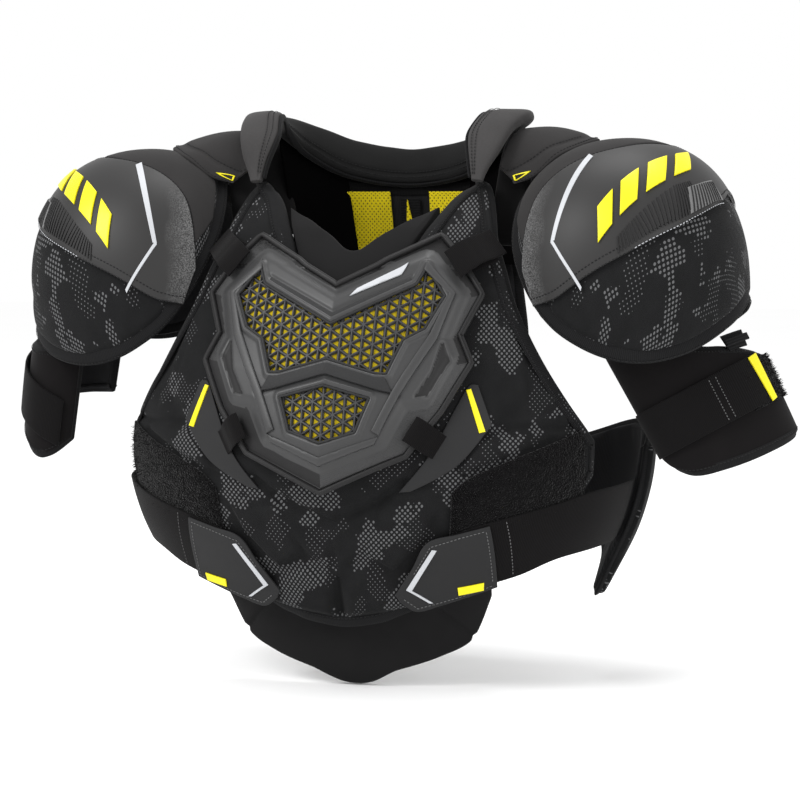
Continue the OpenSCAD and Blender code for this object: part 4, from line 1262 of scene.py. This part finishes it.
# ---------------------------------------------------------------- sternum plate
PLATE_IN, SHELL_T = 8, 3
UPPER_WINDOW = [(0, -128), (-30, -112), (-61, -95), (-67, -81), (-83, -103), (-71, -128), (-56, -137),
                (-46, -163), (-38, -163), (0, -154)]
LOWER_WINDOW = [(-35, -181), (0, -173), (35, -181), (26, -206), (0, -214), (-26, -206)]
FACE = [(0, -112), (-66, -75), (-92, -101), (-82, -135), (-88, -148), (-74, -178), (-58, -180),
        (-43, -209), (0, -224)]
# outline of a slot; its recess is coloured dark as painted shade
SLOT = [(-85, -138), (-91, -151), (-77, -177), (-69, -178), (-80, -160)]


def whole(half):
    """Outline closed with its mirror image."""
    return list(half) + [(-x, z) for x, z in half[::-1] if x != 0]


def plate_p(p, off=0.0):
    """Sternum plate by (across, up) in millimetres."""
    return plate(plate_uv(p), off)


def shell_height(q):
    """Facets of the plastic shell, over (across, up)."""
    x, z = np.abs(q[:, 0]), q[:, 1]
    m, half = np.stack([q[:, 0], z], 1), np.stack([-x, z], 1)
    upper, lower = (1.8 * smooth(d, -5.5, -3) * smooth(-d, 0, 2)
                    for d in (inside(m, whole(UPPER_WINDOW)), inside(m, LOWER_WINDOW)))
    bevel = -3.0 * smooth(-inside(m, whole(FACE)), 0, 9)
    crease = -1.0 * np.exp(-(distance_to(half, [(-57, -89), (0, -119)]) / 1.4) ** 2)
    fold = -1.3 * np.exp(-(distance_to(half, [(-56, -178), (0, -165)]) / 1.6) ** 2)
    slot = -2.4 * smooth(inside(half, SLOT), -2.0, 0.5)
    return upper + lower + bevel + crease + fold + slot


def build_plate():
    us, vs = np.linspace(-1, 1, 161), np.linspace(0, 1, 153)
    nc, nr = len(us) - 1, len(vs) - 1
    p = np.stack([np.repeat(us, nr + 1), np.tile(vs, nc + 1)], 1)
    top = plate(p, PLATE_IN + SHELL_T + shell_height(plate_xz(p)))
    low = plate(p, np.full(len(p), float(PLATE_IN)))
    quads = grid_faces(nc, nr)
    centre = plate_xz(p[quads].mean(1))
    keep = (inside(centre, whole(UPPER_WINDOW)) < 0) & (inside(centre, LOWER_WINDOW) < 0)
    used = quads[keep]
    edges = np.concatenate([used[:, [k, (k + 1) % 4]] for k in range(4)])
    _, first, count = np.unique(np.sort(edges, 1), axis=0, return_index=True, return_counts=True)
    rim = edges[first[count == 1]]
    n = len(p)
    wall = np.stack([rim[:, 0], rim[:, 1], rim[:, 1] + n, rim[:, 0] + n], 1)
    faces = np.concatenate([used, used[:, ::-1] + n, wall])
    half = np.stack([-np.abs(centre[keep][:, 0]), centre[keep][:, 1]], 1)
    # painted shade: faces inside the slot take the dark plastic, standing in for the shade in its recess
    marks = np.concatenate([inside(half, SLOT) > -0.5, np.ones(len(used)), np.ones(len(wall))])
    ids, packed = np.unique(faces, return_inverse=True)
    verts = np.concatenate([top, low])[ids]
    q = np.tile(plate_xz(p), (2, 1))[ids]
    shell = make("plate_shell", verts, packed.reshape(faces.shape), M["plastic"], q, M["dark_plastic_and_slot_shade"], marks)
    on_body(shell, "sternum", "sternum_shell")


def ring_path(polygon):
    """Points about every 2 mm once round a polygon."""
    corners = np.asarray(polygon, float)
    pts = []
    for a, b in zip(corners, np.roll(corners, -1, 0)):
        n = max(int(np.linalg.norm(b - a) / 2.0), 1)
        pts += [a + (b - a) * k / n for k in range(n)]
    return np.array(pts)


def window_frame(window):
    """Rounded lip round a window."""
    q, off, width, height = ring_path(window), 11.6, 2.4, 1.6
    c = plate_p(q, off)
    up = unit(plate_p(q, off + 1) - c)
    t = unit(np.roll(c, -1, 0) - np.roll(c, 1, 0))
    s = unit(np.cross(up, t))
    prof = [(-1, -1.4), (-0.8, 0.5), (-0.35, 1), (0.35, 1), (0.8, 0.5), (1, -1.4)]
    sections = np.stack([c + s * (a * width / 2) + up * (b * height / 2) for a, b in prof], 1)
    return tube("part", sections, M["textured"], ring=True)


RIB_PITCH, RIB_WIDTH, RIB_HEIGHT, RIB_TOP = 9.6, 3.0, 2.2, 9.4
RIB_REACH = 4  # how far the ribs run on under the shell


def lattice(window):
    """Triangular ribs inside a window."""
    off, width, height = RIB_TOP, RIB_WIDTH, RIB_HEIGHT
    cells = {(i, j): (i * RIB_PITCH * math.sqrt(3) / 2, -170 + (j + 0.5 * (i % 2)) * RIB_PITCH)
             for i in range(-14, 15) for j in range(-20, 21)}
    verts, faces = [], []
    for (i, j), a in cells.items():
        odd = i % 2
        for n in ((i, j + 1), (i + 1, j + odd), (i + 1, j - 1 + odd)):
            if n not in cells:
                continue
            seg = np.array([a, cells[n]], float)
            steps = seg[0] + (seg[1] - seg[0]) * np.linspace(0, 1, 4)[:, None]
            steps = steps[inside(steps, window) > -RIB_REACH]
            if len(steps) < 2:
                continue
            c = plate_p(steps, off)
            up = unit(plate_p(steps, off + 1) - c)
            t = unit(np.gradient(c, axis=0))
            s = unit(np.cross(up, t))
            base, m = sum(len(v) for v in verts), len(c)
            verts.append(np.stack([c - s * width / 2 - up * height, c - s * width * 0.14,
                                   c + s * width * 0.14, c + s * width / 2 - up * height], 1).reshape(-1, 3))
            for k in range(base, base + 4 * (m - 1), 4):
                faces += [[k + q, k + (q + 1) % 4, k + 4 + (q + 1) % 4, k + 4 + q] for q in range(4)]
            faces += [[base + q for q in range(4)][::-1], [base + (m - 1) * 4 + q for q in range(4)]]
    v = np.concatenate(verts)
    return make("part", v, faces, M["lattice"], v[:, [0, 2]], flat=True)


def plate_bar(a, b, off0, off1, material):
    """Raised bar on the plate between two lines."""
    return strip(plate_p, a, b, 2.0, off0, off1, material, 0.9, 0.4)


def build_plate_struts():
    """Light struts down both sides of the windows, the fold between them, and the bottom bevel."""
    out = [(-67, -76), (-91, -101), (-81, -136), (-57, -179), (-44, -208)]
    inn = [(-65, -83), (-86, -102), (-75, -132), (-51, -176), (-38, -205)]
    parts = []
    for _, turn in SIDES:
        a, b = ([(x * -turn, z) for x, z in line] for line in (out, inn))
        parts.append(plate_bar(a, b, 9.5, 12.9, M["plastic"]))
    parts.append(plate_bar([(-44, -208), (0, -223), (44, -208)], [(-41, -214), (0, -229), (41, -214)],
                           9.0, 12.2, M["plastic"]))
    on_body(join("plate_struts", parts), "sternum")
    fold = plate_bar([(-45, -164.5), (-38, -164.5), (0, -155.5), (38, -164.5), (45, -164.5)],
                     [(-52, -177), (-40, -175), (0, -165), (40, -175), (52, -177)], 10.5, 12.6, M["textured"])
    band = plate_bar([(-56, -90), (0, -120), (56, -90)], [(-59, -94), (0, -126.5), (59, -94)],
                     10.0, 11.8, M["textured"])
    on_body(join("plate_folds", [fold, band]), "sternum")


def wrap_strap(corner, along_edge, outward, length, width):
    """Elastic that comes up through a slot in the plate, over its rim and down to the chest."""
    start, t, w = (np.array(v, float) for v in (corner, outward, along_edge))

    def surface(p, off=0.0):
        q = start + t * p[:, :1] * length + w * (p[:, 1:] - 0.5) * width
        rise = 13.0 + 2.4 * np.sin(np.clip(p[:, 0] / 0.45, 0, 1) * np.pi) - 11.5 * smooth(p[:, 0], 0.38, 1.0)
        x_side = q * [np.sign(start[0]), 1]
        u = np.clip(np.abs(plate_uv(x_side)[:, 0]), 0, 1)
        return chest(front_az(q), off + rise + RIDGE * (1 - u))
    return surface


WRAPS = (("upper", (-86, -80), (-0.78, 0.62), 40, 24), ("lower", (-66, -202), (-0.86, -0.5), 26, 20))


def build_wraps():
    for name, corner, outward, length, width in WRAPS:
        for side, turn in SIDES:
            o = unit(np.array([outward]))[0] * [-turn, 1]
            c = np.array(corner) * [-turn, 1]
            surface = wrap_strap(c, np.array([-o[1], o[0]]), o, length, width)
            band = strip(surface, *SQUARE, 2.0, 0, 1.7, M["elastic"], 0.7, 0.2,
                         name=f"plate_wrap_{name}_{side}")
            far, near = (surface(np.array([[u, 0.5]]))[0] * MM for u in (1.0, 0.45))
            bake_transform(band)
            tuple(far)
            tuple(near)


def build_plate_details():
    half = [(-1 + 2 * i / 80, 0) for i in range(81)] + [(1, j / 96) for j in range(1, 96)]
    edge = np.array(half + [(-x, 1 - y) for x, y in half], float)
    out = edge_outward(plate, edge, 8.0)
    rows = [(0.2, 5.0), (0.2, 10.4), (1.0, 11.6), (1.9, 11.8), (2.6, 10.8), (3.4, 10.2), (4.0, 10.4),
            (4.6, 9.6), (4.6, 5.4), (3.4, 4.8)]
    sections = np.stack([plate(edge, off) + out * w for w, off in rows], 1)
    rim = tube("plate_rim", sections, M["dark_plastic_and_slot_shade"], ring=True)
    on_body(rim, "sternum", "sternum_rim")
    parts = [lattice(whole(UPPER_WINDOW)), lattice(LOWER_WINDOW)]
    on_body(join("plate_lattice", parts), "sternum", "sternum_lattice")
    frames = [window_frame(whole(UPPER_WINDOW)), window_frame(LOWER_WINDOW)]
    on_body(join("plate_window_frames", frames), "sternum")
    pad = strip(plate, [(-0.86, 0.06), (0.86, 0.06)], [(-0.86, 0.93), (0.86, 0.93)], 4, 1.2, 6.4,
                M["yellow_foam"], 1.5, name="plate_foam")
    on_body(pad, "sternum", "sternum_pad")
    badge = strip(plate_p, [(17, -101), (53, -79)], [(12, -107), (49, -88)], 2, 11.0, 12.4, M["silver"], 0.5,
                  name="plate_badge")
    on_body(badge, "sternum", "sternum_badge")
    build_plate_struts()
    build_wraps()


build_plate()
build_plate_details()


# ---------------------------------------------------------------- extension
def build_extension():
    a = front_az(both([(0, -312), (30, -311), (60, -308), (92, -304), (124, -298)]))
    b = front_az(both([(0, -426), (42, -413), (80, -400), (110, -384), (126, -350)]))
    pad = panel("belly_extension", chest, a, b, 4.5, -33.4, -22.4, M["bib"], 4.5, 1.0, chest_uv)
    inflate(pad, 3.0, 4.0)

    def seams(co):
        p = np.stack([np.abs(co[:, 0]), co[:, 2]], 1)
        return -2.2 * np.exp(-(distance_to(p, [(74, -352), (112, -392)]) / 2.2) ** 2)

    displace(finer(pad), seams)
    on_body(pad, "extension", "extension_pad")
    a = front_az(both([(0, -322), (35, -320), (70, -316)]))
    b = front_az(both([(0, -346), (35, -344), (70, -340)]))
    hooks = panel("extension_hooks", chest, a, b, 3, -22.9, -22.0, M["loop"], 0.4, uv=chest_uv)
    on_body(hooks, "extension", "extension_hook")
    mark = strip(chest, front_az([(-4, -370), (12, -370)]), front_az([(3.5, -381), (4.5, -381)]), 2,
                 -22.2, -20.6, M["yellow"], 0.4, uv=chest_uv, name="extension_mark")
    on_body(mark, "extension")


build_extension()

# ---------------------------------------------------------------- shoulder caps
CAP_T = 13
SEAM = [(-0.56, 0.93), (-0.28, 0.875), (0.04, 0.69), (0.25, 0.475), (0.425, 0.20), (0.47, -0.08),
        (0.42, -0.40)]


def dome(name, surface, material, inner, relief):
    """Closed dome over the unit disc, rounded at its rim."""
    rings, cols, edge, radius = 34, 120, 0.035, 5.0
    rim = 1 - edge * (1 - np.sin(np.linspace(0, np.pi / 2, 5)))[1:]
    rr = np.concatenate([np.linspace(0, 1 - edge, rings)[1:], rim])
    ang = np.linspace(0, 2 * np.pi, cols, endpoint=False)
    disc = np.stack([np.cos(ang), np.sin(ang)], 1)
    p = np.concatenate([[[0, 0]], (rr[:, None, None] * disc[None]).reshape(-1, 2)])
    d = (1 - np.linalg.norm(p, axis=1)) / edge * radius
    drop = rounding(radius, d)
    n, nr = len(p), len(rr)
    verts = np.concatenate([surface(p, relief(p) - drop), surface(p, drop - CAP_T)])
    ring = 1 + np.arange(nr * cols).reshape(nr, cols)
    nxt = np.roll(ring, -1, 1)
    quads = np.stack([ring[:-1], nxt[:-1], nxt[1:], ring[1:]], -1).reshape(-1, 4)
    fans = [[0, ring[0, k], nxt[0, k]] for k in range(cols)]
    wall = np.stack([ring[-1], nxt[-1], nxt[-1] + n, ring[-1] + n], 1)
    faces = [*quads, *fans, *(quads + n), *[[n + v for v in f] for f in fans], *wall]
    marks = np.concatenate([np.zeros(len(quads) + cols), np.ones(len(quads) + cols), np.zeros(len(wall))])
    return make(name, verts, faces, material, np.tile(cap_uv(p), (2, 1)), inner, marks,
                np.concatenate([np.ones(n), np.zeros(n)]))


def cap_relief(p):
    """Seam groove and a soft fold along the dome's lower half."""
    return (-2.0 * np.exp(-(distance_to(p, SEAM) * CAP_MM / 3.0) ** 2)
            - 1.2 * np.exp(-(distance_to(p, [(0.2, 0.95), (0.62, 0.60), (0.90, 0.10)]) * CAP_MM / 8) ** 2))


OVERLAY_IN = [(-0.66, 0.76), (-0.60, 0.58), (-0.50, 0.45), (-0.21, 0.29), (-0.05, 0.18), (0.10, 0.0),
              (0.20, -0.24)]
OVERLAY_OUT = [(-0.55, 0.90), (-0.28, 0.855), (0.03, 0.675), (0.24, 0.465), (0.405, 0.20), (0.45, -0.06),
               (0.42, -0.36)]
PATCH_IN = [(-0.82, 0.52), (-0.90, 0.30), (-0.92, 0.06), (-0.90, -0.16), (-0.82, -0.42)]
PATCH_OUT = [(-0.64, 0.66), (-0.54, 0.48), (-0.24, 0.32), (-0.02, 0.12), (0.14, -0.22)]


def cap_across(u, v):
    return (0.17 - 0.27 * u + 0.04 * v, 0.14 + 0.46 * u + 0.10 * v)


def cap_bars(surface):
    """Four plain raised bars in a row across the overlay."""
    return [strip(surface, [cap_across(k, -0.55), cap_across(k + 0.17, -0.55)],
                  [cap_across(k + 0.03, 0.55), cap_across(k + 0.2, 0.55)], 2, 2.4, 4.7, M["yellow"], 1.0)
            for k in (0.02, 0.27, 0.52, 0.77)]


def cap_stripes(surface, count, top, bottom, off, share=0.42):
    """Narrow slanted strips between two lines."""
    s = np.linspace(0, 1, count)
    a, b = along(top, s), along(bottom, s)
    end = np.minimum(s + share / count, 1)
    c, d = along(top, end), along(bottom, end)
    return [strip(surface, [a[i], b[i]], [c[i], d[i]], 3, off, off + 0.6, M["dark_plastic_and_slot_shade"], 0.25)
            for i in range(count - 1)]


def build_cap_shell(side, surface, body):
    """Padded dome, coated overlay, fabric patch, edge tape and seams of a cap."""
    shell = dome(f"cap_shell_{side}", surface, M["cap_cover"], M["lining"], cap_relief)
    on_body(shell, body, [f"cap_{k}_{side}" for k in ("cover", "foam", "insert")])
    over = panel(f"cap_top_{side}", surface, OVERLAY_IN, OVERLAY_OUT, 2.6, -0.6, 2.0, M["overlay"], 1.2, 0.8,
                 cap_uv)
    on_body(over, body, f"cap_overlay_{side}")
    patch = panel(f"cap_patch_{side}", surface, PATCH_IN, PATCH_OUT, 3, -0.8, 1.3, M["yoke"], 1.0, 0.4,
                  cap_uv)
    on_body(patch, body)
    ang = np.linspace(0, 2 * np.pi, 220, endpoint=False)
    edge = np.stack([np.cos(ang), np.sin(ang)], 1)
    tape, line = binding(f"cap_edge_{side}", surface, edge, -CAP_T, 0, lap=8, squeeze=2.5)
    on_body(tape, body, f"cap_binding_{side}")
    seams = [seam_line(surface, OVERLAY_OUT, 2.2), seam_line(surface, OVERLAY_IN, 1.9)]
    seams.append(seam_line(surface, [(x - 0.02, y - 0.025) for x, y in OVERLAY_OUT], 2.6))
    lines = [stitches(f"cap_edge_stitches_{side}", [line], M["thread"]),
             stitches("part", seams, M["thread"], closed=False)]
    on_body(join(f"cap_edge_stitches_{side}", lines), body)


def build_cap_trim(side, surface, body):
    """Silver angled line, printed strips and plain yellow bars on a cap."""
    silver = [strip(surface, a, b, 2, 2.2, 3.2, M["silver"], 0.4)
              for a, b in (([(-0.20, 0.31), (-0.318, 0.66)], [(-0.232, 0.30), (-0.345, 0.665)]),
                           ([(-0.335, 0.655), (-0.125, 0.81)], [(-0.345, 0.668), (-0.128, 0.825)]))]
    on_body(join(f"cap_line_{side}", silver), body)
    line = seam_line(surface, [(0.10, 0.615), (0.25, 0.452), (0.418, 0.2)], 2.3, 60)
    thread = stitches(f"cap_silver_stitches_{side}", [line], M["silver"], closed=False)
    on_body(thread, body)
    grey = strip(surface, [(0.20, 0.31), (0.30, 0.17)], [(0.265, 0.40), (0.40, 0.20)], 2, 2.2, 3.3,
                 M["grey_foil"], 0.4, name=f"cap_sheen_{side}")
    on_body(grey, body)
    strips = cap_stripes(surface, 27, [(0.01, 0.60), (0.065, 0.50), (0.15, 0.33), (0.20, 0.27)],
                         [(0.035, 0.655), (0.14, 0.545), (0.235, 0.44), (0.31, 0.34)], 2.6, 0.5)
    strips += cap_stripes(surface, 12, [(0.21, 0.30), (0.31, 0.17)], [(0.275, 0.39), (0.395, 0.21)], 3.3)
    on_body(join(f"cap_stripes_{side}", strips), body)
    on_body(join(f"cap_bars_{side}", cap_bars(surface)), body, f"cap_trim_{side}")


def build_caps():
    for side, turn, lift in CAPS:
        surface = sided(cap(lift), turn)
        build_cap_shell(side, surface, f"cap_{side}")
        build_cap_trim(side, surface, f"cap_{side}")


build_caps()


# ---------------------------------------------------------------- biceps guards
def build_guards():
    for side, turn, g in (("left", 1, GUARD_LEFT), ("right", -1, GUARD_RIGHT)):
        surface = sided(guard(g), turn)
        body, strap_body = f"guard_{side}", f"guard_strap_{side}"
        pad = panel(f"arm_pad_{side}", surface, g["a"], g["b"], 4.5, 0, 9, M["neoprene"], 3.5, 0.5, guard_uv,
                    inner=M["lining"])
        inflate(pad, 2.0, 2.5)
        on_body(finer(pad), body, f"guard_pad_{side}")
        bound_edge(body, f"arm_edge_{side}", f"arm_edge_stitches_{side}", (), surface,
                   edge_path(g["a"], g["b"], 90, 30), 0.5, 8.5, 2.5, 5.0, squeeze=2.4)
        end, root = np.array(g["end"], float), np.array(g["root"], float)
        a, b = [end + [-38, 4], end + [20, 2]], [end + [-38, 42], end + [20, 42]]
        loop = panel(f"arm_loop_{side}", surface, a, b, 2.2, 9.2, 11.4, M["loop"], 1.0, 0.4, guard_uv,
                     relief=rough_relief(2.4, 0.4, 9))
        on_body(loop, body, f"guard_loop_{side}")
        pile = fluff(f"arm_loop_pile_{side}", surface, a, b, 11.2, M["loop"], 1500, 21)
        on_body(pile, body)
        s = along(g["a"], 0.42)[0, 1]
        web = [panel("part", surface, [(-30, s - 12), (-6, s - 14)], [(-28, s + 2), (-8, s)], 2,
                     9.5, 11.0, M["webbing"], 0.6),
               panel("part", surface, [(-31, s - 8), (-6, s - 10)], [(-31, s - 2), (-6, s - 4)], 2,
                     11.4, 13.6, M["webbing"], 0.9)]
        on_body(join(f"arm_webbing_{side}", web), body, f"guard_webbing_{side}")
        a = [end + (root - end) * k / 4 for k in range(5)]
        b = [q + [0, 40] for q in a]
        band = strap(f"arm_band_{side}", a, b, 12, 13.8, surface)
        on_body(band, strap_body, f"guard_band_{side}")
        tag = strip(surface, [end + [-1, 0], end + [9, 1]], [end + [-1, 40], end + [5, 41]], 2, 13.6, 15.4,
                    M["yellow"], 0.7, name=f"arm_tag_{side}")
        on_body(tag, strap_body, f"guard_tag_{side}")
        rows = [seam_line(surface, [q + [0, 2], q + [0, 38]], 14.0, 30, along)
                for q in (end + (root - end) * k for k in (0.30, 0.345))]
        seam = stitches(f"arm_band_stitches_{side}", rows, M["grey_thread"], 2.6, 1.9, closed=False)
        on_body(seam, strap_body)


build_guards()

# ---------------------------------------------------------------- belly straps
BAND_TOP = [(78, -290), (108, -278), (138, -269), (170, -260), (192, -253)]
BAND_BOTTOM = [(78, -334), (108, -327), (138, -318), (165, -306), (188, -301)]
TAB_TOP = [(47, -332), (62, -310), (76, -288), (100, -281), (122, -275)]
TAB_BOTTOM = [(50, -338), (62, -346), (80, -341), (100, -334), (122, -326)]


def build_tab_trim(side, turn, body):
    """Angled silver line, plain yellow bar and stitch rows on a strap tab."""
    def part(a, b, off1, material, name="part"):
        a, b = front_az(sides(a, turn)), front_az(sides(b, turn))
        return strip(chest, a, b, 2, 8.0, off1, material, 0.3, uv=chest_uv, name=name)

    line = [part([(56, -327), (79, -293)], [(60, -328), (82.5, -293.5)], 8.9, M["silver"]),
            part([(56, -327), (72, -338)], [(60, -327.5), (75, -338)], 8.9, M["silver"])]
    on_body(join(f"belly_tab_line_{side}", line), body)
    bar = part([(94, -325), (113, -321)], [(94, -331.5), (112, -327.5)], 9.2, M["yellow"],
               f"belly_tab_bar_{side}")
    on_body(bar, body)
    rows = [[(63, -314), (78, -291), (100, -284), (120, -278.5)],
            [(53, -335), (63, -343), (80, -338), (100, -331.5), (120, -323.5)],
            [(119, -279), (119, -323)]]
    lines = [seam_line(chest, front_az(sides(row, turn)), 8.1, 80, along) for row in rows]
    lines.append(seam_line(chest, front_az(sides([(134, -272), (134, -317)], turn)), 5.9, 40, along))
    seam = stitches(f"belly_tab_stitches_{side}", lines, M["grey_thread"], closed=False)
    on_body(seam, body)


def build_belly_straps():
    for side, turn in SIDES:
        body = f"belly_strap_{side}"
        a = np.vstack([front_az(BAND_TOP), [[86, -250]]])
        b = np.vstack([front_az(BAND_BOTTOM), [[86, -300]]])
        if turn < 0:
            a, b = a[::-1] * [-1, 1], b[::-1] * [-1, 1]
        band = strap(f"belly_band_{side}", a, b, 3.8, 5.6, uv=chest_uv)
        on_body(band, body, f"side_band_{side}")
        a, b = front_az(sides(TAB_TOP, turn)), front_az(sides(TAB_BOTTOM, turn))
        tab = panel(f"belly_tab_{side}", chest, a, b, 2.5, 6.1, 7.9, M["flank"], 0.8, 0.2, chest_uv)
        on_body(tab, body, f"side_tab_{side}")
        build_tab_trim(side, turn, body)


build_belly_straps()


# ---------------------------------------------------------------- stage
FLOOR_HALF = 9.0  # metres
LIGHTS = (("key", (-1.3, -1.7, 1.3), 1.0, 42), ("fill", (1.8, -1.4, 0.5), 1.2, 16),
          ("top", (0.1, 0.3, 1.8), 1.0, 18))  # place and size in metres, power in watts


def build_stage():
    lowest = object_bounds()[0].z
    n = Nodes("floor", 1.0, specular=0.0)
    grain = n.noise(n.place(), 3, 2)
    floor_mat = n.finish(n.mix(grain, (0.975, 0.975, 0.975), (0.99, 0.99, 0.99)))
    mesh = bpy.data.meshes.new("floor")
    corners = [(x * FLOOR_HALF, y * FLOOR_HALF) for x, y in ((-1, -1), (1, -1), (1, 1), (-1, 1))]
    mesh.from_pydata([(x, y, lowest - 0.001) for x, y in corners], [], [(0, 1, 2, 3)])
    mesh.materials.append(floor_mat)
    floor = bpy.data.objects.new("floor", mesh)
    bpy.context.scene.collection.objects.link(floor)
    world = bpy.data.worlds.new("studio")
    bpy.context.scene.world = world
    world.use_nodes = True
    world.node_tree.nodes["Background"].inputs["Color"].default_value = (1, 1, 1, 1)
    world.node_tree.nodes["Background"].inputs["Strength"].default_value = 1.0
    for name, place, size, energy in LIGHTS:
        data = bpy.data.lights.new(name, "AREA")
        data.size, data.energy = size, energy
        light = bpy.data.objects.new(name, data)
        light.location = place
        light.rotation_mode = "QUATERNION"
        light.rotation_quaternion = (Vector((0, 0, -0.15)) - light.location).to_track_quat("-Z", "Y")
        bpy.context.scene.collection.objects.link(light)
    bpy.context.scene.view_settings.view_transform = "Standard"


build_stage()
